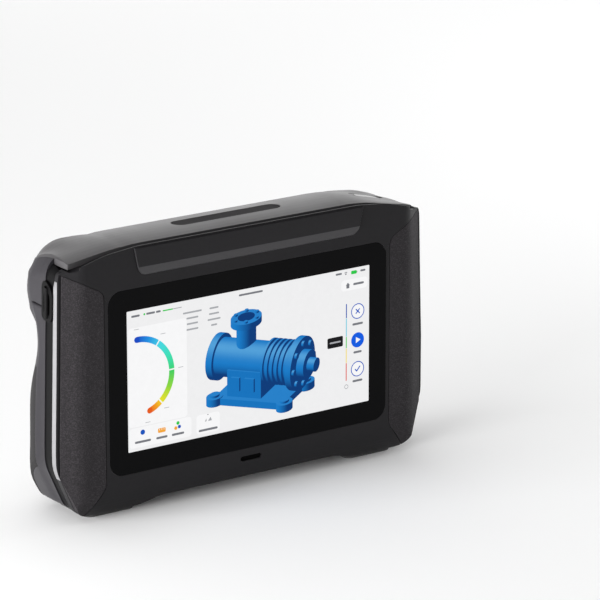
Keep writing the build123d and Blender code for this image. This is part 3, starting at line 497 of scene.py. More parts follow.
class Sketch:
    """Collects closed shapes on a plane, with a colour at each corner, and makes one mesh of them."""

    def __init__(self) -> None:
        """Starts with nothing."""
        self.points: list[Vector] = []
        self.faces: list[list[int]] = []
        self.colours: list[Colour] = []

    def face(self, corners: Sequence[int], colours: Sequence[Colour]) -> None:
        """Adds one face with a colour at each corner."""
        self.faces.append(list(corners))
        self.colours.extend(colours)

    def loop(self, outline: Sequence[Point], height: float) -> range:
        """Adds the points of an outline at a height and returns their numbers."""
        self.points += [Vector((u, v, height)) for u, v in outline]
        return range(len(self.points) - len(outline), len(self.points))

    def strip(self, first: range, second: range, tones: Sequence[Colour]) -> None:
        """Joins two loops of points with a strip of faces.

        Args:
            first: Numbers of the points of one loop.
            second: Numbers of the points of the other one.
            tones: The colour at each point of both.
        """
        for i in range(len(first)):
            j = (i + 1) % len(first)
            self.face([first[i], first[j], second[j], second[i]], [tones[i], tones[j], tones[j], tones[i]])

    def prism(self, outline: Sequence[Point], low: float, high: float,
              paint: Colour | Sequence[Colour]) -> None:
        """Adds a flat plate with straight sides.

        Args:
            outline: Its corners, anticlockwise as seen from the front.
            low: Height of its back.
            high: Height of its front.
            paint: One colour, or one for each corner.
        """
        tones = list(paint) if isinstance(paint[0], tuple) else [paint] * len(outline)
        back, front = self.loop(outline, low), self.loop(outline, high)
        self.face(front, tones)
        self.face(back[::-1], tones[::-1])
        self.strip(back, front, tones)

    def frame(self, outer: Sequence[Point], inner: Sequence[Point], low: float, high: float,
              paint: Colour) -> None:
        """Adds a flat plate with a hole.

        Args:
            outer: Corners of the plate, anticlockwise as seen from the front.
            inner: Corners of the hole, as many as the plate's.
            low: Height of its back.
            high: Height of its front.
            paint: Its colour.
        """
        loops = [self.loop(*edge) for edge in ((outer, low), (outer, high), (inner, high), (inner, low))]
        for first, second in zip(loops, loops[1:] + loops[:1]):
            self.strip(first, second, [paint] * len(outer))

    def lathe(self, centre: Point, profile: Sequence[tuple[float, float, Colour]], steps: int) -> None:
        """Adds a closed turned shape about the plane's normal.

        Args:
            centre: Where its axis stands.
            profile: Radius, height and colour from the axis at its front round to the axis at its back.
            steps: How many sides it has.
        """
        start = len(self.points)
        rings = profile[1:-1]
        for radius, height, _ in rings:
            self.loop(moved(disc(radius, steps), *centre), height)
        first, last = len(self.points), len(self.points) + 1
        self.points += [Vector((*centre, profile[0][1])), Vector((*centre, profile[-1][1]))]
        for k in range(steps):
            n = (k + 1) % steps
            self.face([first, start + k, start + n], [profile[0][2], rings[0][2], rings[0][2]])
            for row in range(len(rings) - 1):
                a, b = start + row * steps + k, start + row * steps + n
                tones = [rings[row][2], rings[row + 1][2], rings[row + 1][2], rings[row][2]]
                self.face([a, a + steps, b + steps, b], tones)
            base = start + (len(rings) - 1) * steps
            self.face([last, base + n, base + k], [rings[-1][2]] * 3)

    def build(self, name: str, place: Matrix, finish: Painted | Finish) -> Object:
        """Makes the mesh where the plane stands.

        Args:
            name: Name of the piece.
            place: The plane's place, with its normal along the local third axis.
            finish: Finish of the piece.

        Returns:
            The new object, at the origin.
        """
        mesh = bpy.data.meshes.new(name)
        mesh.from_pydata([place @ (point * MM) for point in self.points], [], self.faces)
        paint = mesh.color_attributes.new(Painted.ATTRIBUTE, "FLOAT_COLOR", "CORNER")
        values = [channel for colour in self.colours for channel in rgba(colour)]
        paint.data.foreach_set("color", values)
        mesh.materials.append(finish.material())
        return show(name, mesh)


def show(name: str, data: bpy.types.ID) -> Object:
    """Makes an object of some data and links it into the scene.

    Args:
        name: Name of the object.
        data: Its mesh, lamp or camera.

    Returns:
        The new object.
    """
    made = bpy.data.objects.new(name, data)
    bpy.context.scene.collection.objects.link(made)
    return made


def settle(piece: Object, slot: str, *nodes: str, body: str = BODY) -> None:
    """Lets a piece ride on a body and hides the nodes that it stands for.

    Args:
        piece: The piece.
        slot: Not used.
        nodes: The nodes that it stands for.
        body: The body that carries it.
    """
    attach(piece, body)
    if nodes:
        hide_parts(*nodes)
    log.info("%s rides on %s", piece.name, body)


def shade_smooth(mesh: bpy.types.Mesh, angle: float) -> None:
    """Shades a mesh smooth, with hard edges where faces meet at more than an angle in degrees."""
    mesh.polygons.foreach_set("use_smooth", [True] * len(mesh.polygons))
    mesh.set_sharp_from_angle(angle=math.radians(angle))


def rounded_rect(width: float, height: float, radius: float, steps: int = 6) -> list[Point]:
    """Outline of a rectangle with round corners.

    Args:
        width: Its whole width.
        height: Its whole height.
        radius: Radius of its corners.
        steps: How many sides each corner has.

    Returns:
        Its points, anticlockwise about its middle.
    """
    points = []
    for quarter, (sx, sy) in enumerate(((1, 1), (-1, 1), (-1, -1), (1, -1))):
        for k in range(steps + 1):
            turn = math.radians(90) * (quarter + k / steps)
            points.append((sx * (width / 2 - radius) + radius * math.cos(turn),
                           sy * (height / 2 - radius) + radius * math.sin(turn)))
    return points


def moved(outline: Sequence[Point], u: float, v: float) -> list[Point]:
    """Moves an outline."""
    return [(x + u, y + v) for x, y in outline]


def disc(radius: float, steps: int = 32) -> list[Point]:
    """Corners of a round plate."""
    turns = [math.tau * k / steps for k in range(steps)]
    return [(radius * math.cos(turn), radius * math.sin(turn)) for turn in turns]


def plane_at(origin: Place, along: Vector, normal: Vector) -> Matrix:
    """Place of a plane.

    Args:
        origin: Its origin in millimetres.
        along: Its first axis.
        normal: Its normal.

    Returns:
        The matrix that sets points of the plane in place.
    """
    place = Matrix((along, normal.cross(along), normal)).transposed().to_4x4()
    place.translation = Vector(origin) * MM
    return place


def smooth(share: float) -> float:
    """Soft step from 0 to 1."""
    share = min(max(share, 0.0), 1.0)
    return share * share * (3 - 2 * share)


def ramp(value: float, ends: Span) -> float:
    """Soft step from 0 at the first end to 1 at the second."""
    return smooth((value - ends[0]) / (ends[1] - ends[0]))


@dataclass
class EndShaping:
    """Shape of the body's ends: level rear top, round corners, waist, and sides that lean in to the top.

    The copies of the nodes are cut finely at both ends and their points are moved. A field that ends in span
    holds where a soft step begins and where it is full. A depth runs back from the screen's face.
    """

    front_y: float = -26.168
    slope_start: float = 66.0
    slope: float = 8.9 / 37.3
    corner: float = 20.0
    middle_x: float = 60.0
    side_z: float = 107.0
    outside: float = 200.0
    ray_length: float = 60.0
    waist: float = 6.0
    waist_drop: float = 21.5
    waist_power: float = 1.5
    waist_rounds: int = 8
    waist_angle: float = -56.0
    angle_span: Span = (-72.0, -56.0)
    core_span: Span = (0.5, 0.9)
    seam_depth: float = 16.6
    rear_depth: float = 36.0
    bar_z: float = 84.0
    right_share: float = 0.5
    right_span: Span = (27.0, 37.0)
    front_rise: float = 0.104
    front_span: Span = (104.0, 112.0)
    right_rise: float = 0.4
    button_span: Span = (5.0, 14.0)
    rim_rise: float = 1.2
    rim_span: Span = (108.0, 116.0)
    rim_run: float = 15.0
    band_span: Span = (8.0, 16.0)
    lean: float = 0.031
    lean_z: float = 56.0
    lean_limits: Span = (-1.9, 0.6)
    lean_span: Span = (79.5, 99.5)
    button_lean_span: Span = (92.0, 99.5)
    grip_swell: float = 0.9
    grip_span: Span = (18.0, 26.0)
    grip_top_span: Span = (84.0, 64.0)
    panel_rise: float = 4.9
    panel_inner: Point = (81.0, 104.0)
    panel_slope: float = 0.47
    panel_span: Span = (78.8, 79.9)
    panel_low_z: float = 70.0
    panel_fade: float = 9.0
    depths: tuple[float, ...] = (18, 22, 26, 30, 33.5, 38.5, 40.5)
    angles: tuple[int, ...] = tuple(range(-70, 91, 5))
    x_cuts: tuple[float, ...] = (68, 72, 76, 78.7, 79.4, 80.0, 82, 84, 86, 88, 90, 91.5, 92.8, 94, 95, 96, 97,
                                 98, 99, 99.8, 100.6, 101.3, 101.9, 102.4)
    depth_cuts: tuple[float, ...] = (8, 11, 14, 19, 22, 24.5, 27, 29, 31, 33)
    z_cuts: tuple[float, ...] = (37, 56, 75, 82, 85, 87, 88.5, 90, 91.5, 93, 96, 99, 102, 105, 108, 110, 112,
                                 114, 115.5, 117, 118.5, 120, 121.5, 123, 124.5, 126)
    top_nodes: tuple[str, ...] = ("top_cover", "camera_housing", "side_cap", "power_button", "status_light")
    front_nodes: tuple[str, ...] = ("front_bezel", *pair("front_grip"))
    band_nodes: tuple[str, ...] = ("mid_frame", *pair("side_trim"), "strap_lug")
    back_nodes: tuple[str, ...] = ("rear_cover", *pair("rear_grip"))
    cut_merge: float = 1e-7
    rows: dict = field(default_factory=dict)

    def survey(self) -> None:
        """Measures the bar's end outline at several depths, from rays cast at the nodes."""
        whole = bmesh.new()
        for node in self.top_nodes[:2]:
            whole.from_mesh(frame["nodes"][node].data)
        tree = BVHTree.FromBMesh(whole)
        whole.free()

        def reach(start: Place, way: Place) -> Vector:
            """First point that a ray meets."""
            return tree.ray_cast(Vector(start) * MM, Vector(way))[0] / MM

        for side in (-1, 1):
            for depth in self.depths:
                y = self.front_y + depth
                top = reach((side * self.middle_x, y, self.outside), (0, 0, -1)).z
                flank = abs(reach((side * self.outside, y, self.side_z), (-side, 0, 0)).x)
                centre = (flank - self.corner, top - self.corner)
                row = []
                for angle in self.angles:
                    along, rise = math.cos(math.radians(angle)), math.sin(math.radians(angle))
                    away, up = self.ray_length * along, self.ray_length * rise
                    start = (side * (centre[0] + away), y, centre[1] + up)
                    met = reach(start, (-side * along, 0, -rise))
                    row.append(math.hypot(abs(met.x) - centre[0], met.z - centre[1]))
                self.rows[side, depth] = (*centre, *row)

    def outline(self, side: int, depth: float) -> list[float]:
        """Present outline of an end at any depth.

        Args:
            side: -1 for the left end, 1 for the right one.
            depth: Depth of the outline.

        Returns:
            The two places of its centre, then its radii by angle.
        """
        depth = min(max(depth, self.depths[0]), self.depths[-1])
        after = next(i for i, mark in enumerate(self.depths) if mark >= depth)
        low, high = self.depths[max(after - 1, 0)], self.depths[after]
        share = (depth - low) / (high - low) if high > low else 0.0
        return [a + (b - a) * share for a, b in zip(self.rows[side, low], self.rows[side, high])]

    def wanted(self, angle: float) -> float:
        """Wanted outline of an end: a round corner, and a waist below it.

        Args:
            angle: Degrees above the level through the corner's centre.

        Returns:
            The radius there.
        """
        if angle >= 0:
            return self.corner
        radius = self.corner
        turn = math.radians(angle)
        for _ in range(self.waist_rounds):
            below = max(-radius * math.sin(turn), 0.0)
            drawn = self.waist * (below / self.waist_drop) ** self.waist_power
            radius = (self.corner - drawn) / math.cos(turn)
        return radius

    def rear(self, side: int, x: float, z: float, depth: float) -> tuple[float, float]:
        """Moves a point of the bar's end onto the rear outline.

        Args:
            side: -1 for the left end, 1 for the right one.
            x: Distance of the point from the middle.
            z: Height of the point.
            depth: Depth of the point.

        Returns:
            Its new distance and height.
        """
        centre_x, centre_z, *radii = self.outline(side, depth)
        out, rise = x - centre_x, z - centre_z
        if out <= 0:
            present = self.corner - self.slope * max(x - self.slope_start, 0.0)
            if rise <= 0:
                return x, z
            inner = ramp(rise / present, self.core_span)
            return x, centre_z + rise * (1 + (self.corner / present - 1) * inner)
        angle = math.degrees(math.atan2(rise, out))
        place = max((angle - self.angles[0]) / (self.angles[1] - self.angles[0]), 0.0)
        first = min(int(place), len(radii) - 2)
        present = radii[first] + (radii[first + 1] - radii[first]) * (place - first)
        ratio = self.wanted(max(angle, self.waist_angle)) / present
        fade = ramp(angle, self.angle_span) * ramp(math.hypot(out, rise) / present, self.core_span)
        scale = 1 + (ratio - 1) * fade
        return centre_x + out * scale, centre_z + rise * scale

    def moved(self, node: str, point: Vector) -> Vector:
        """Moves a point of an end.

        Args:
            node: The node that the point belongs to.
            point: Its place.

        Returns:
            Its new place.
        """
        side = 1 if point.x > 0 else -1
        x, z, depth = abs(point.x), point.z, point.y - self.front_y
        past = max(x - self.slope_start, 0.0)
        rim = self.rim_rise * smooth(past / self.rim_run) * ramp(z, self.rim_span)
        rise = self.front_rise * past * ramp(z, self.front_span)
        if node in self.top_nodes:
            held = 1.0 if side < 0 else self.right_rise * (1 - ramp(depth, self.button_span))
            front = z + rise * held
            share = min(max((depth - self.seam_depth) / (self.rear_depth - self.seam_depth), 0.0), 1.0) ** 2
            if side > 0:
                share = self.right_share * ramp(depth, self.right_span)
            if share > 0 and x > self.middle_x and z > self.bar_z:
                rear_x, rear_z = self.rear(side, x, z, depth)
                x, z = x + (rear_x - x) * share, front + (rear_z - front) * share
            else:
                z = front
        elif node in self.band_nodes:
            z += rim + (rise - rim) * ramp(depth, self.band_span) * (side < 0)
        elif node in self.front_nodes:
            edge = self.panel_inner[1] + self.panel_slope * max(x - self.panel_inner[0], 0.0)
            lift = self.panel_rise * ramp(x, self.panel_span)
            if z < edge:
                z += lift * ramp(z, (self.panel_low_z, edge))
            else:
                above = smooth((z - edge) / self.panel_fade)
                z += lift * (1 - above) + rim * above
        most = self.lean_limits[1] if side < 0 else 0.0
        lean = min(max(-self.lean * (point.z - self.lean_z), self.lean_limits[0]), most)
        if node in self.back_nodes:
            swell = self.grip_swell if side < 0 else self.grip_swell - self.lean_limits[1]
            lean += swell * ramp(depth, self.grip_span) * ramp(point.z, self.grip_top_span)
        span = self.button_lean_span if side > 0 and node in self.top_nodes else self.lean_span
        return Vector((side * (x + lean * ramp(abs(point.x), span)), point.y, z))

    def apply(self, node: str, shape: bmesh.types.BMesh) -> None:
        """Cuts the ends of a node's copy finely and moves its points.

        Args:
            node: The node.
            shape: Its copy, in metres.
        """
        shaped = self.top_nodes + self.front_nodes + self.band_nodes + self.back_nodes
        if node not in shaped:
            return
        if not self.rows:
            self.survey()
        cuts = [((side * x, 0, 0), (1, 0, 0)) for x in self.x_cuts for side in (-1, 1)]
        cuts += [((0, self.front_y + depth, 0), (0, 1, 0)) for depth in self.depth_cuts]
        cuts += [((0, 0, z), (0, 0, 1)) for z in self.z_cuts]
        for place, normal in cuts:
            parts = shape.verts[:] + shape.edges[:] + shape.faces[:]
            bmesh.ops.bisect_plane(shape, geom=parts, dist=self.cut_merge, plane_co=Vector(place) * MM,
                                   plane_no=normal)
        bmesh.ops.triangulate(shape, faces=shape.faces[:])
        for vertex in shape.verts:
            if abs(vertex.co.x) > self.middle_x * MM:
                vertex.co = self.moved(node, vertex.co / MM) * MM


class Casework:
    """Gives every piece of the frame its finish, and the curved ones a smooth skin."""

    FLAT = ("cover_glass", "glass_gasket", "display_panel", "speaker", "button_switch", "optical_bench",
            "main_board", "heat_sink", "chassis_screws", *pair("main_lens", "fill_lamps", "ring_lamps"))
    HARD_ANGLE = 32.0
    MERGE = 2e-6
    PAINTED_HIGHLIGHT_FACING = -0.12
    FACE_WEIGHT = 90
    ends = EndShaping()

    def dress(self) -> None:
        """Sets the finish of each node, and stops if one is left bare."""
        bare = set(frame["nodes"])
        bodies = frame["record"]["behaviour"]["bodies"]
        carried = {node: body for body, nodes in bodies.items() for node in nodes}
        slots = {row["node"]: row["material_slot"] for row in frame["record"]["subparts"]}
        for finish, nodes in NODE_FINISHES.items():
            for node in nodes:
                materials = frame["nodes"][node].data.materials
                materials.clear()
                materials.append(finish.material())
                bare.discard(node)
                if node not in self.FLAT:
                    settle(self.skin(node, finish), slots[node], node, body=carried[node])
        if bare:
            raise ValueError(f"no finish for {sorted(bare)}")

    def skin(self, node: str, finish: Finish) -> Object:
        """Copies a node as one joined surface with smooth curves and hard edges.

        Args:
            node: The node that the skin stands for.
            finish: Its finish.

        Returns:
            The skin, at the origin.
        """
        shape = bmesh.new()
        shape.from_mesh(frame["nodes"][node].data)
        bmesh.ops.remove_doubles(shape, verts=shape.verts, dist=self.MERGE)
        self.ends.apply(node, shape)
        rough = bpy.data.meshes.new(f"{node}_rough")
        shape.to_mesh(rough)
        shape.free()
        if "custom_normal" in rough.attributes:
            rough.attributes.remove(rough.attributes["custom_normal"])
        rough.materials.clear()
        rough.materials.append(finish.material())
        # The brow's faces that face downward take the painted highlight finish, a paler tone in the place of
        # the light band under the ridge.
        if finish is BROW:
            rough.materials.append(BROW_PAINTED_HIGHLIGHT.material())
            for face in rough.polygons:
                face.material_index = int(face.normal.z < self.PAINTED_HIGHLIGHT_FACING)
        shade_smooth(rough, self.HARD_ANGLE)
        made = show(f"{node}_skin", rough)
        weighted = made.modifiers.new("weighted", "WEIGHTED_NORMAL")
        weighted.keep_sharp = True
        weighted.weight = self.FACE_WEIGHT
        return plain(made)


def plain(made: Object) -> Object:
    """Turns an object's evaluated shape into its own plain mesh, without modifiers.

    Args:
        made: The object.

    Returns:
        The same object.
    """
    graph = bpy.context.evaluated_depsgraph_get()
    shown = made.evaluated_get(graph)
    mesh = bpy.data.meshes.new_from_object(shown, preserve_all_data_layers=True, depsgraph=graph)
    made.modifiers.clear()
    made.data = mesh
    mesh.name = made.name
    return made


def between(first: Colour, second: Colour, share: float) -> Colour:
    """Colour at a share of the way from one colour to another."""
    return tuple(a + (b - a) * share for a, b in zip(first, second))


@dataclass
class ScannedPart:
    """Picture of a scanned machine part: a small pump drawn as a shallow relief on the screen.

    The pump's sizes are in the picture's own units, which the scale turns into millimetres.
    """

    turn: float = -32.0
    tilt: float = 24.0
    scale: float = 0.80
    place_u: float = 5.6
    place_v: float = -3.6
    relief_mm: float = 0.30
    depth_span: float = 96.0
    lift_mm: float = 0.06
    sides: int = 40
    light_from: Place = (-0.45, -0.55, 0.80)
    half_lit: float = 0.6
    shine_power: int = 10
    axle_z: float = 2.0
    pipe_x: float = -12.0
    deep: Colour = linear(0, 58, 122)
    body: Colour = linear(16, 122, 200)
    pale: Colour = linear(128, 208, 246)

    def draw(self, sketch: Sketch) -> None:
        """Draws the part.

        Args:
            sketch: The screen's sketch.
        """
        self.sketch = sketch
        tilted = Matrix.Rotation(math.radians(self.tilt), 3, "X")
        self.view = tilted @ Matrix.Rotation(math.radians(self.turn), 3, "Z")
        self.light = Vector(self.light_from).normalized()
        self._base()
        self._pump()
        self._pipe()

    def _base(self) -> None:
        """Feet with their bolts, the base plate, the block and two plates on it."""
        for x in (-29, 29):
            for y in (-15, 15):
                for low, high, radius in ((-22, -17, 6.0), (-17, -15.6, 3.4)):
                    self.rod((x, y, low), (x, y, high), radius)
        for low, high in (((-29, -17, -22), (29, 17, -17.5)), ((-20, -13, -17.5), (8, 13, 0)),
                          ((-16, -14.6, -13), (-9, -13, -4)), ((-5, -14.6, -13), (3, -13, -4))):
            self.box(low, high)

    def _pump(self) -> None:
        """Barrel with its caps, fins, flange, bolts and shaft."""
        fins = [(x, x + 1.7, 14.2) for x in (8, 12, 16, 20, 24)]
        for start, end, radius in ((-34, 33, 12.0), (-37, -32, 14.5), (-40, -37, 8.0), *fins, (30, 35, 17.0),
                                   (35, 41, 9.0), (41, 47, 4.4)):
            self.rod((start, 0, self.axle_z), (end, 0, self.axle_z), radius)
        for y, z in disc(13.4, 8):
            self.rod((35, y, self.axle_z + z), (36.8, y, self.axle_z + z), 1.9)

    def _pipe(self) -> None:
        """Upright pipe with its flange, its mouth and bolts."""
        for low, high, radius, tint in ((8, 27, 7.0, None), (26, 30, 11.0, None), (30, 30.4, 6.0, self.deep)):
            self.rod((self.pipe_x, 0, low), (self.pipe_x, 0, high), radius, tint)
        for x, y in disc(8.6, 6):
            self.rod((self.pipe_x + x, y, 30), (self.pipe_x + x, y, 31.2), 1.4)

    def tone(self, normal: Vector) -> Colour:
        """Shades a surface.

        Args:
            normal: The way that it faces.

        Returns:
            Its colour.
        """
        lit = max(normal.dot(self.light), 0.0)
        if lit < self.half_lit:
            return between(self.deep, self.body, lit / self.half_lit)
        return between(self.body, self.pale, min(lit ** self.shine_power, 1.0))

    def corner(self, point: Vector) -> Vector:
        """Flattens a point of the part onto the screen.

        Args:
            point: The point, in the picture's units.

        Returns:
            Its place on the screen.
        """
        seen = self.view @ point
        depth = (0.5 - seen.y / self.depth_span) * self.relief_mm
        u, v = self.place_u + self.scale * seen.x, self.place_v + self.scale * seen.z
        return Vector((u, v, self.lift_mm + depth))

    def patch(self, points: Sequence[Vector], normals: Sequence[Vector], tint: Colour | None = None) -> None:
        """Adds one face.

        Args:
            points: Its corners.
            normals: The normal at each corner.
            tint: One colour for all of it, in the place of its shades.
        """
        start = len(self.sketch.points)
        self.sketch.points += [self.corner(point) for point in points]
        colours = [tint or self.tone(normal) for normal in normals]
        self.sketch.face(range(start, start + len(points)), colours)

    def box(self, low: Place, high: Place) -> None:
        """Adds a block.

        Args:
            low: Its lowest corner.
            high: Its highest corner.
        """
        for axis in range(3):
            a, b = (axis + 1) % 3, (axis + 2) % 3
            for end, sign in ((low, -1), (high, 1)):
                loop = [(low[a], low[b]), (high[a], low[b]), (high[a], high[b]), (low[a], high[b])]
                points = []
                for first, second in loop[::sign]:
                    point = Vector((0, 0, 0))
                    point[axis], point[a], point[b] = end[axis], first, second
                    points.append(point)
                normal = Vector((0, 0, 0))
                normal[axis] = sign
                self.patch(points, [normal] * 4)

    def rod(self, start: Place, end: Place, radius: float, tint: Colour | None = None) -> None:
        """Adds a round rod.

        Args:
            start: Middle of its first end.
            end: Middle of its last end.
            radius: Its radius.
            tint: One colour for all of it, in the place of its shades.
        """
        first, last = Vector(start), Vector(end)
        axis = (last - first).normalized()
        side = axis.orthogonal().normalized()
        other = axis.cross(side)
        rays = [side * c + other * s for c, s in disc(1.0, self.sides)]
        for k in range(self.sides):
            a, b = rays[k], rays[(k + 1) % self.sides]
            self.patch([first + a * radius, first + b * radius, last + b * radius, last + a * radius],
                       [a, b, b, a], tint)
        self.patch([last + ray * radius for ray in rays], [axis] * self.sides, tint)
        self.patch([first + ray * radius for ray in reversed(rays)], [-axis] * self.sides, tint)


@dataclass
class Screen:
    """Cover glass with its black border and the lit picture: a gauge, keys, plain bars and a scanned part.

    The picture's places are millimetres from the screen's middle.
    """

    glass_width: float = 156.2
    glass_height: float = 89.0
    glass_radius: float = 7.0
    glass_thickness: float = 1.2
    lit_width: float = 136.3
    lit_height: float = 68.15
    lit_radius: float = 0.4
    middle_z: float = 64.4
    layer_mm: float = 0.02
    round_share: float = 0.49
    band_step: float = 3.0
    card_radius: float = 1.6
    gauge_centre: Point = (-62.2, 1.6)
    gauge_radius: float = 18.2
    gauge_width: float = 2.9
    tick_radius: float = 23.2
    table_v: float = 28.0
    table_pitch: float = 2.75
    signal: Point = (54.5, 31.5)
    range_u: float = 54.9
    key_u: float = 61.5
    key_radius: float = 3.75
    cross_v: float = 12.2
    play_v: float = -2.2
    tick_v: float = -16.7
    ground: Colour = linear(241, 241, 242)
    card: Colour = linear(249, 249, 250)
    ink: Colour = linear(120, 122, 128)
    faint: Colour = linear(170, 172, 176)
    blue: Colour = linear(16, 84, 190)
    green: Colour = linear(40, 200, 72)
    orange: Colour = linear(246, 168, 56)

    def build(self) -> None:
        """Makes the border and the picture."""
        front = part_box("cover_glass")[0].y / MM
        place = plane_at((0, front, self.middle_z), Vector((1, 0, 0)), Vector((0, -1, 0)))
        lit = rounded_rect(self.lit_width, self.lit_height, self.lit_radius)
        border = Sketch()
        border.frame(rounded_rect(self.glass_width, self.glass_height, self.glass_radius), lit,
                     -self.glass_thickness, 0, self.ink)
        settle(border.build("screen_border", place, BLACK_GLASS), "dark_glass", "cover_glass")
        self.sketch = Sketch()
        self.sketch.prism(lit, -self.glass_thickness, 0, self.ground)
        self._cards()
        self._gauge()
        self._status()
        self._tools()
        self._buttons()
        ScannedPart().draw(self.sketch)
        settle(self.sketch.build("screen_picture", place, LIT_SCREEN), "display", "cover_glass")

    def plate(self, outline: Sequence[Point], paint: Colour | Sequence[Colour], layer: int = 2) -> None:
        """Adds a flat shape on a layer of the picture."""
        self.sketch.prism(outline, (layer - 1) * self.layer_mm, layer * self.layer_mm, paint)

    def tile(self, u: float, v: float, width: float, height: float, radius: float, paint: Colour,
             layer: int = 2, steps: int = 3) -> None:
        """Adds a rectangle with round corners about a point."""
        self.plate(moved(rounded_rect(width, height, radius, steps), u, v), paint, layer)

    def bar(self, u: float, v: float, width: float, height: float, paint: Colour, layer: int = 2) -> None:
        """Adds a bar with round ends about a point."""
        self.tile(u, v, width, height, min(width, height) * self.round_share, paint, layer, 4)

    def dot(self, u: float, v: float, radius: float, paint: Colour, layer: int = 2, steps: int = 32) -> None:
        """Adds a round plate about a point."""
        self.plate(moved(disc(radius, steps), u, v), paint, layer)

    def ring(self, u: float, v: float, radii: Span, paint: Colour, layer: int = 2, steps: int = 32) -> None:
        """Adds a ring with an outer and an inner radius about a point."""
        outer, inner = (moved(disc(radius, steps), u, v) for radius in radii)
        self.sketch.frame(outer, inner, (layer - 1) * self.layer_mm, layer * self.layer_mm, paint)

    def stroke(self, u: float, v: float, length: float, width: float, turn: float, layer: int) -> None:
        """Adds a short straight blue stroke.

        Args:
            u: Place of its middle.
            v: Place of its middle.
            length: Its length.
            width: Its width.
            turn: Its turn in degrees.
            layer: Layer of the picture.
        """
        c, s = math.cos(math.radians(turn)), math.sin(math.radians(turn))
        corners = ((-1, -1), (1, -1), (1, 1), (-1, 1))
        outline = [(u + (a * length * c - b * width * s) / 2, v + (a * length * s + b * width * c) / 2)
                   for a, b in corners]
        self.plate(outline, self.blue, layer)

    def band(self, centre: Point, radius: float, width: float, start: float, end: float,
             tones: Sequence[Colour], layer: int = 2) -> None:
        """Adds a curved band whose colour runs through tones from one angle to another.

        Args:
            centre: Middle of the curve.
            radius: Radius of the band's middle line.
            width: Width of the band.
            start: First angle in degrees.
            end: Last angle in degrees.
            tones: Colours from the start to the end.
            layer: Layer of the picture.
        """
        steps = max(int(abs(end - start) / self.band_step), 2)
        inner, outer = radius - width / 2, radius + width / 2
        for k in range(steps):
            rim, paint = [], []
            for share in (k / steps, (k + 1) / steps):
                turn = math.radians(start + (end - start) * share)
                spot = share * (len(tones) - 1)
                low = min(int(spot), len(tones) - 2)
                paint.append(between(tones[low], tones[low + 1], spot - low))
                rim.append((math.cos(turn), math.sin(turn)))
            (a, b), (c, d) = rim
            corners = [(inner * a, inner * b), (outer * a, outer * b),
                       (outer * c, outer * d), (inner * c, inner * d)]
            colours = [paint[0], paint[0], paint[1], paint[1]]
            if end < start:
                corners, colours = corners[::-1], colours[::-1]
            self.plate(moved(corners, *centre), colours, layer)

    def _cards(self) -> None:
        """Pale cards under the gauge, the tools and the home key."""
        for u, v, width, height in ((-51.6, 1.7, 32.0, 48.0), (-50.4, -27.6, 34.0, 9.6),
                                    (-24.1, -27.8, 13.0, 9.4), (59.5, 26.0, 15.2, 5.4)):
            self.tile(u, v, width, height, self.card_radius, self.card, 1, 6)

    def _around(self, angle: float, radius: float) -> Point:
        """Point at an angle and a radius about the gauge's middle."""
        turn = math.radians(angle)
        return self.gauge_centre[0] + radius * math.cos(turn), self.gauge_centre[1] + radius * math.sin(turn)

    def _gauge(self) -> None:
        """Curved colour gauge at the left, with fine ticks."""
        spans = (
            (92, 55, (linear(20, 74, 196), linear(30, 140, 226), linear(60, 196, 232))),
            (53, 3, (linear(70, 214, 232), linear(64, 226, 190), linear(60, 214, 120))),
            (1, -48, (linear(56, 208, 96), linear(140, 216, 60), linear(234, 226, 40))),
            (-50, -71, (linear(244, 200, 36), linear(244, 150, 30), linear(232, 92, 24))),
        )
        for start, end, tones in spans:
            self.band(self.gauge_centre, self.gauge_radius, self.gauge_width, start, end, tones)
        for angle, tone in ((spans[0][0], spans[0][2][0]), (spans[-1][1], spans[-1][2][-1])):
            self.dot(*self._around(angle, self.gauge_radius), self.gauge_width / 2, tone, 3, 20)
        for angle in (92, 54, 2, -49, -78):
            self.bar(*self._around(angle, self.tick_radius), 2.8, 0.28, self.faint)

    def _status(self) -> None:
        """Bars in the place of words along the top, with the battery, signal and home marks."""
        ink, faint = self.ink, self.faint
        for u, v, width, height, tone in (
            (-63.4, 31.3, 4.6, 1.0, ink), (-58.6, 31.4, 1.0, 1.0, self.green), (-55.2, 31.4, 4.8, 1.0, ink),
            (-51.0, 31.4, 2.6, 1.0, ink), (-45.8, 31.3, 5.6, 0.6, self.green), (-40.6, 31.3, 4.8, 0.4, faint),
            (0.2, 31.5, 13.4, 0.95, ink), (50.4, 32.3, 3.6, 0.95, ink), (64.4, 32.1, 3.0, 0.95, ink),
            (61.9, 26.0, 6.2, 1.1, ink),
        ):
            self.bar(u, v, width, height, tone)
        for row, widths in enumerate(((10.4, 5.0), (6.6, 5.6), (6.2, 7.2), (6.6, 3.4))):
            for u, width in zip((-32.4, -20.4), widths):
                self.bar(u, self.table_v - self.table_pitch * row, width, 0.85, faint)
        self.tile(59.2, 31.9, 3.2, 1.7, 0.4, self.green)
        self.bar(61.0, 31.9, 0.4, 0.9, faint)
        self.band(self.signal, 1.1, 0.32, 135, 45, (ink, ink))
        self.dot(self.signal[0], 31.7, 0.42, ink, steps=12)
        self.plate([(54.5, 25.9), (56.9, 25.9), (55.7, 27.3)], ink)
        self.tile(55.7, 25.2, 1.7, 1.5, 0.2, ink, steps=2)

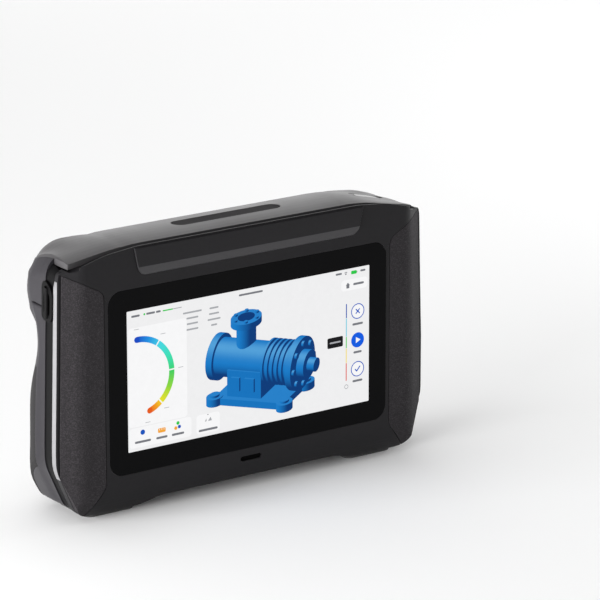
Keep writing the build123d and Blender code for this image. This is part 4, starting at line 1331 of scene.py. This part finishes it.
    def _tools(self) -> None:
        """Three small marks and the reset mark along the bottom, with bars in the place of words."""
        self.dot(-60.25, -25.4, 1.25, self.blue, steps=24)
        self.tile(-49.8, -26.4, 4.2, 2.2, 0.5, self.orange)
        for u in (-51.0, -49.8, -48.6):
            self.bar(u, -25.9, 0.25, 0.9, self.card, 3)
        for u, v, tone in ((-40.9, -24.6, self.green), (-40.1, -26.5, self.blue),
                           (-42.1, -26.9, self.orange)):
            self.dot(u, v, 0.95, tone, steps=6)
        for u, width in ((-60.2, 8.8), (-49.8, 6.2), (-40.9, 6.8)):
            self.bar(u, -29.9, width, 1.1, self.ink)
        self.plate([(-26.0, -26.8), (-25.0, -26.8), (-25.0, -25.4)], self.faint)
        self.plate([(-24.2, -26.8), (-22.0, -26.8), (-22.7, -25.0)], self.faint)
        self.bar(-24.2, -23.6, 0.6, 0.6, self.ink)
        self.bar(-24.1, -30.9, 10.6, 1.1, self.ink)

    def _buttons(self) -> None:
        """Range bar, its tag and three round keys at the right."""
        for high, low, tone in ((16.8, 9.8, linear(40, 86, 176)), (9.6, 0.6, linear(120, 206, 226)),
                                (0.4, -5.2, linear(90, 206, 96)), (-5.4, -12.6, linear(246, 222, 120)),
                                (-12.8, -21.6, linear(226, 92, 84))):
            self.tile(self.range_u, (high + low) / 2, 0.55, high - low, 0.05, tone, steps=1)
        self.ring(55.0, -24.6, (1.15, 0.85), self.faint, steps=24)
        self.tile(48.4, -1.2, 9.0, 5.2, 0.6, linear(22, 22, 24))
        self.bar(48.4, -1.2, 6.4, 0.8, self.faint, 3)
        for v in (self.cross_v, self.tick_v):
            self.dot(self.key_u, v, self.key_radius, self.card)
            self.ring(self.key_u, v, (3.85, 3.4), self.blue, 3)
        self.dot(self.key_u, self.play_v, self.key_radius, linear(12, 92, 226))
        self.plate([(60.5, -3.7), (63.2, self.play_v), (60.5, -0.7)], self.card, 3)
        self.stroke(self.key_u, self.cross_v, 3.3, 0.55, 45, 3)
        self.stroke(self.key_u, self.cross_v, 3.3, 0.55, -45, 4)
        self.stroke(60.6, -17.3, 1.7, 0.6, -45, 3)
        self.stroke(62.0, -16.6, 3.0, 0.6, 50, 4)
        for v, width in ((5.9, 6.2), (-8.2, 4.8), (-22.6, 5.8)):
            self.bar(self.key_u, v, width, 1.1, self.ink)


@dataclass
class Optics:
    """Coated lenses and lamp faces of both camera pods.

    The main lens has a dark pupil, then green, pink and violet rings of its coating. The two small round
    lamps are pale domes in dark rims. Places are in the plane of a pod's window.
    """

    pod_x: float = 62.5
    pod_depth: float = 49.0
    lens_z: float = 103.5
    toe_degrees: float = 9.6
    main_u: float = -8.3
    main_radius: float = 6.2
    main_edge: float = -5.6
    main_dome: float = 1.4
    main_seat: float = -8.2
    main_sides: int = 48
    lamp_ring: float = 12.8
    lamp_count: int = 6
    chip_mm: float = 2.7
    chip_lift: float = 0.08
    bar_count: int = 3
    bar_pitch: float = 0.8
    bar_width: float = 0.26
    bar_length: float = 1.9
    fill_u: float = 14.2
    fill_v: float = 9.8
    fill_radius: float = 1.9
    fill_dome: float = 0.45
    fill_seat: float = -0.8
    fill_sides: int = 28
    hard_angle: float = 40.0
    MAIN_TONES = ((0.0, linear(6, 6, 8)), (0.22, linear(8, 12, 12)), (0.34, linear(30, 74, 54)),
                  (0.46, linear(26, 40, 46)), (0.58, linear(96, 58, 84)), (0.70, linear(58, 36, 74)),
                  (0.82, linear(84, 60, 120)), (0.92, linear(34, 24, 46)), (1.0, linear(12, 11, 14)))
    FILL_TONES = ((0.0, linear(226, 222, 204)), (0.35, linear(206, 200, 180)), (0.6, linear(120, 112, 100)),
                  (0.8, linear(40, 36, 36)), (1.0, linear(14, 13, 15)))

    def build(self) -> None:
        """Makes both pods' optics."""
        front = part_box("cover_glass")[0].y / MM
        main = self._dome(self.MAIN_TONES, self.main_radius, self.main_edge, self.main_dome, self.main_seat)
        fill = self._dome(self.FILL_TONES, self.fill_radius, 0.0, self.fill_dome, self.fill_seat)
        for name, side in (("left", -1), ("right", 1)):
            turn = -side * math.radians(self.toe_degrees)
            along = Vector((-math.cos(turn), math.sin(turn), 0))
            normal = Vector((math.sin(turn), math.cos(turn), 0))
            place = plane_at((side * self.pod_x, front + self.pod_depth, self.lens_z), along, normal)
            for piece, node, centres, profile, sides in (
                ("main_lens_glass", "main_lens", [(self.main_u, 0)], main, self.main_sides),
                ("fill_lamp_glass", "fill_lamps", [(self.fill_u, v) for v in (self.fill_v, -self.fill_v)],
                 fill, self.fill_sides),
            ):
                sketch = Sketch()
                for centre in centres:
                    sketch.lathe(centre, profile, sides)
                lens = sketch.build(f"{piece}_{name}", place, COATED_LENS)
                shade_smooth(lens.data, self.hard_angle)
                settle(lens, "lens", f"{node}_{name}")
            for kind, finish, repeat, size in (
                ("face", CHIP, 1, (self.chip_mm, self.chip_mm, self.chip_lift)),
                ("contact", CHIP_BAR, self.bar_count, (self.bar_width, self.bar_length, 2 * self.chip_lift)),
            ):
                settle(self._lamp_tiles(f"lamp_{kind}_{name}", finish, repeat, size, place), "lamp")

    @staticmethod
    def _dome(tones: Sequence[tuple[float, Colour]], radius: float, edge: float, height: float,
              seat: float) -> list[tuple[float, float, Colour]]:
        """Profile of a domed lens, with tones by their share of the radius and a flat seat behind."""
        front = [(radius * share, edge + height * (1 - share * share), tone) for share, tone in tones]
        return front + [(radius, seat, tones[-1][1]), (0.0, seat, tones[-1][1])]

    def _lamp_tiles(self, name: str, finish: Finish, repeat: int, size: Place,
                    place: Matrix) -> Object:
        """Grows the small tiles on the lamps round the main lens.

        Args:
            name: Name of the piece.
            finish: Finish of the tiles.
            repeat: How many tiles each lamp has, side by side.
            size: Size of a tile in millimetres.
            place: The pod's plane.

        Returns:
            The tiles as one plain mesh.
        """
        made = TileTree({
            "Lamps": self.lamp_count, "Ring Radius": self.lamp_ring * MM, "Repeat": repeat,
            "Pitch": self.bar_pitch * MM, "Tile": Vector(size) * MM, "Material": finish.material(),
        }).grow(name)
        made.data.transform(place @ Matrix.Translation((self.main_u * MM, 0, 0)))
        return made


class GrowTree:
    """Geometry Nodes tree whose named inputs follow from given values, grown into a plain mesh."""

    NAME = "grow"
    KINDS = ((int, "Int"), (float, "Float"), (Vector, "Vector"), (Material, "Material"))

    def __init__(self, values: dict[str, object]) -> None:
        """Builds the tree with its inputs and its end.

        Args:
            values: Value of each input, by its name.
        """
        self.tree = bpy.data.node_groups.new(self.NAME, "GeometryNodeTree")
        self.settings = {self._input(name, value): value for name, value in values.items()}
        self.tree.interface.new_socket(name="Geometry", in_out="OUTPUT", socket_type="NodeSocketGeometry")
        self.graph = Graph(self.tree)
        self.given = self.graph.add("NodeGroupInput").outputs
        real = self.graph.add("GeometryNodeRealizeInstances", {"Geometry": self.lay_out()})
        coloured = self.graph.add("GeometryNodeSetMaterial", {
            "Geometry": real, "Material": self.given["Material"]})
        self.graph.add("NodeGroupOutput", {"Geometry": coloured})

    def _input(self, name: str, value: object) -> str:
        """Adds an input of a value's kind.

        Args:
            name: Name of the input.
            value: Its value.

        Returns:
            The input's identifier.
        """
        kind = next(kind for made, kind in self.KINDS if isinstance(value, made))
        face = self.tree.interface
        return face.new_socket(name=name, in_out="INPUT", socket_type=f"NodeSocket{kind}").identifier

    def lay_out(self) -> Socket:
        """Lays out the instances and returns their geometry."""
        raise NotImplementedError

    def grow(self, name: str) -> Object:
        """Grows the tree into a plain mesh.

        Args:
            name: Name of the piece.

        Returns:
            The new object, at the origin.
        """
        made = show(name, bpy.data.meshes.new(name))
        modifier = made.modifiers.new(self.NAME, "NODES")
        modifier.node_group = self.tree
        for identifier, value in self.settings.items():
            modifier[identifier] = value
        return plain(made)


class TileTree(GrowTree):
    """Small tiles in rows on each lamp of a ring, turned towards the ring's middle."""

    NAME = "lamp_tiles"

    def lay_out(self) -> Socket:
        """Sets a row of tiles on every lamp.

        Returns:
            The instances of the rows.
        """
        add, calc, given = self.graph.add, self.graph.math, self.given
        ring = add("GeometryNodeMeshCircle", {"Vertices": given["Lamps"], "Radius": given["Ring Radius"]})
        quarter = add("GeometryNodeTransform", {
            "Geometry": ring, "Rotation": (0, 0, math.radians(90))})
        step = add("ShaderNodeCombineXYZ", {"X": given["Pitch"]})
        reach = calc("MULTIPLY", calc("SUBTRACT", given["Repeat"], 1.0), -0.5)
        start = add("ShaderNodeCombineXYZ", {"X": calc("MULTIPLY", reach, given["Pitch"])})
        line = add("GeometryNodeMeshLine", {
            "Count": given["Repeat"], "Start Location": start, "Offset": step})
        tile = add("GeometryNodeMeshCube", {"Size": given["Tile"]})
        row = add("GeometryNodeInstanceOnPoints", {"Points": line, "Instance": tile})
        face = add("FunctionNodeAlignRotationToVector", {
            "Vector": add("GeometryNodeInputPosition").outputs[0]}, axis="X", pivot_axis="Z")
        return add("GeometryNodeInstanceOnPoints", {
            "Points": quarter, "Instance": row, "Rotation": face}).outputs[0]


class LipTree(GrowTree):
    """Rounded lips of graded hexagonal holes in staggered rows."""

    NAME = "grille_lips"
    STORED = "share"
    HALF = 0.5
    SIDES = 6

    def lay_out(self) -> Socket:
        """Sets a lip at every hole.

        Returns:
            The instances of the lips.
        """
        add, calc, given = self.graph.add, self.graph.math, self.given
        columns, rows = given["Columns"], given["Rows"]
        index = add("GeometryNodeInputIndex").outputs[0]
        column = calc("FLOOR", calc("DIVIDE", calc("ADD", index, self.HALF), rows))
        row = calc("SUBTRACT", index, calc("MULTIPLY", column, rows))
        stagger = calc("MODULO", row, 2.0)
        last = calc("SUBTRACT", calc("SUBTRACT", columns, 1.0), stagger)
        x = calc("MULTIPLY", calc("SUBTRACT", column, calc("MULTIPLY", last, self.HALF)), given["Pitch"])
        z = calc("ADD", given["Bottom"], calc("MULTIPLY", row, given["Row Pitch"]))
        spot = add("ShaderNodeCombineXYZ", {"X": x, "Y": given["Face"], "Z": z})
        upper = calc("SUBTRACT", calc("SUBTRACT", rows, 1.0), row)
        outer = calc("SUBTRACT", last, column)
        inward = calc("MINIMUM", calc("MINIMUM", row, upper), calc("MINIMUM", column, outer))
        share = 1.0
        for ring, name in enumerate(("Edge Share", "Second Share")):
            within = calc("COMPARE", inward, float(ring), self.HALF)
            share = calc("SUBTRACT", share, calc("MULTIPLY", within, calc("SUBTRACT", 1.0, given[name])))
        grid = add("GeometryNodeMeshGrid", {"Vertices X": columns, "Vertices Y": rows})
        points = add("GeometryNodeSetPosition", {"Geometry": grid, "Position": spot})
        stored = add("GeometryNodeStoreNamedAttribute", {
            "Geometry": points, "Name": self.STORED, "Value": share,
        }, data_type="FLOAT", domain="POINT")
        past = calc("LESS_THAN", outer, -self.HALF)
        kept = add("GeometryNodeDeleteGeometry", {
            "Geometry": stored, "Selection": past}, domain="POINT")
        path, edge = (add("GeometryNodeCurvePrimitiveCircle", {
            "Resolution": self.SIDES, "Radius": given[name]}) for name in ("Hole Radius", "Lip"))
        lip = add("GeometryNodeCurveToMesh", {"Curve": path, "Profile Curve": edge})
        for turn in ((0, 0, math.radians(30)), (math.radians(90), 0, 0)):
            lip = add("GeometryNodeTransform", {"Geometry": lip, "Rotation": turn})
        size = add("GeometryNodeInputNamedAttribute", {"Name": self.STORED}, data_type="FLOAT")
        return add("GeometryNodeInstanceOnPoints", {
            "Points": kept, "Instance": lip, "Scale": size}).outputs[0]


@dataclass
class Grille:
    """Lips round the holes of the air grille."""

    columns: int = 21
    rows: int = 11
    pitch: float = 3.4
    row_pitch: float = 3.4 * 0.866
    bottom_z: float = 24.5
    back_depth: float = 38.0
    hole_radius: float = 1.36
    lip_radius: float = 0.10
    edge_share: float = 0.42
    second_share: float = 0.72

    def build(self) -> None:
        """Grows the lips on the grille's face."""
        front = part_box("cover_glass")[0].y / MM
        lips = LipTree({
            "Columns": self.columns, "Rows": self.rows, "Pitch": self.pitch * MM,
            "Row Pitch": self.row_pitch * MM, "Bottom": self.bottom_z * MM,
            "Face": (front + self.back_depth) * MM, "Hole Radius": self.hole_radius * MM,
            "Lip": self.lip_radius * MM, "Edge Share": self.edge_share, "Second Share": self.second_share,
            "Material": REAR.material(),
        })
        settle(lips.grow("grille_lips"), "rear_shell")


@dataclass(frozen=True)
class Softbox:
    """One softbox: its place, its width and height in metres, and its power in watts."""

    name: str
    place: Place
    size: Span
    power: float

    def hang(self, aim: Vector) -> None:
        """Hangs the softbox.

        Args:
            aim: The point that it faces.
        """
        lamp = bpy.data.lights.new(self.name, "AREA")
        lamp.shape = "RECTANGLE"
        lamp.size, lamp.size_y = self.size
        lamp.energy = self.power
        holder = show(self.name, lamp)
        holder.location = self.place
        holder.rotation_euler = (aim - Vector(self.place)).to_track_quat("-Z", "Y").to_euler()


@dataclass
class Studio:
    """Pale floor, soft light and the camera at the photograph's angle. The aim is a pixel of the picture."""

    azimuth: float = -34.5
    elevation: float = 16.8
    distance: float = 1.8
    lens: float = 230.0
    picture: int = 600
    aim_x: float = 250.7
    aim_y: float = 357.5
    aim_height_mm: float = 64.4
    world_tone: Colour = linear(255, 255, 255)
    horizon_level: float = 0.62
    zenith_level: float = 0.16
    horizon_ends: Span = (0.30, 0.62)
    floor_size: float = 16.0
    floor_finish: Backdrop = Backdrop("pale_floor", linear(250, 250, 250), 0.9)
    sky_power: float = 1.15
    sky_spread: float = 80.0
    sky_from: Place = (-0.10, 0.45, 1.0)
    softboxes: tuple[Softbox, ...] = (
        Softbox("left_light", (-1.30, -0.10, 0.25), (1.3, 0.45), 34.0),
        Softbox("side_light", (1.25, 0.02, 0.26), (0.5, 0.5), 8.0),
        Softbox("rim_light", (0.75, 1.20, 0.62), (1.2, 1.2), 3.4),
    )

    def build(self) -> None:
        """Makes the world, the floor, the lights and the camera."""
        bpy.context.scene.view_settings.view_transform = "Standard"
        self._world()
        self._floor()
        self._lights()
        self._camera()

    def _world(self) -> None:
        """Makes a world that is bright at the horizon and dimmer above."""
        world = bpy.data.worlds.new("studio_world")
        world.use_nodes = True
        graph = Graph(world.node_tree)
        way = graph.add("ShaderNodeTexCoord").outputs["Generated"]
        height = graph.add("ShaderNodeSeparateXYZ", {"Vector": way}).outputs["Z"]
        low, high = self.horizon_ends
        level = graph.add("ShaderNodeMapRange", {
            "Value": height, "From Min": low, "From Max": high, "To Min": self.horizon_level,
            "To Max": self.zenith_level}, interpolation_type="SMOOTHSTEP")
        back = graph.add("ShaderNodeBackground", {
            "Color": rgba(self.world_tone), "Strength": level.outputs["Result"]})
        graph.add("ShaderNodeOutputWorld", {"Surface": back})
        bpy.context.scene.world = world

    def _floor(self) -> None:
        """Makes a large pale floor that keeps the object's shadow."""
        half = self.floor_size / 2
        mesh = bpy.data.meshes.new("floor")
        corners = [(-half, -half, 0), (half, -half, 0), (half, half, 0), (-half, half, 0)]
        mesh.from_pydata(corners, [], [(0, 1, 2, 3)])
        floor = show("floor", mesh)
        mesh.materials.append(self.floor_finish.material())

    def _lights(self) -> None:
        """Sets an even sky, a wide softbox at the left, a small one at the right and one behind."""
        sky = bpy.data.lights.new("sky_light", "SUN")
        sky.energy = self.sky_power
        sky.angle = math.radians(self.sky_spread)
        holder = show("sky_light", sky)
        holder.rotation_euler = (-Vector(self.sky_from)).to_track_quat("-Z", "Y").to_euler()
        holder.visible_glossy = False
        for softbox in self.softboxes:
            softbox.hang(Vector((0, 0, self.aim_height_mm * MM)))

    def _camera(self) -> None:
        """Places the camera so that the screen's middle lies where the photograph has it."""
        turn, rise = math.radians(self.azimuth), math.radians(self.elevation)
        back = Vector((math.sin(turn) * math.cos(rise), -math.cos(turn) * math.cos(rise), math.sin(rise)))
        right = Vector((math.cos(turn), math.sin(turn), 0))
        up = back.cross(right)
        data = bpy.data.cameras.new("camera")
        data.lens = self.lens
        per_pixel = self.distance * data.sensor_width / data.lens / self.picture
        middle = Vector((0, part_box("cover_glass")[0].y, self.aim_height_mm * MM))
        middle += right * (self.picture / 2 - self.aim_x) * per_pixel
        middle += up * (self.aim_y - self.picture / 2) * per_pixel
        camera = show("camera", data)
        camera.location = middle + back * self.distance
        camera.rotation_euler = (-back).to_track_quat("-Z", "Y").to_euler()
        bpy.context.scene.camera = camera


def write_sizes() -> None:
    """Updates the view layer."""
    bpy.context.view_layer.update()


def main() -> None:
    """Dresses the object and lights it."""
    logging.basicConfig(level=logging.INFO)
    Casework().dress()
    Screen().build()
    Optics().build()
    Grille().build()
    Studio().build()
    write_sizes()


if __name__ == "__main__":
    main()
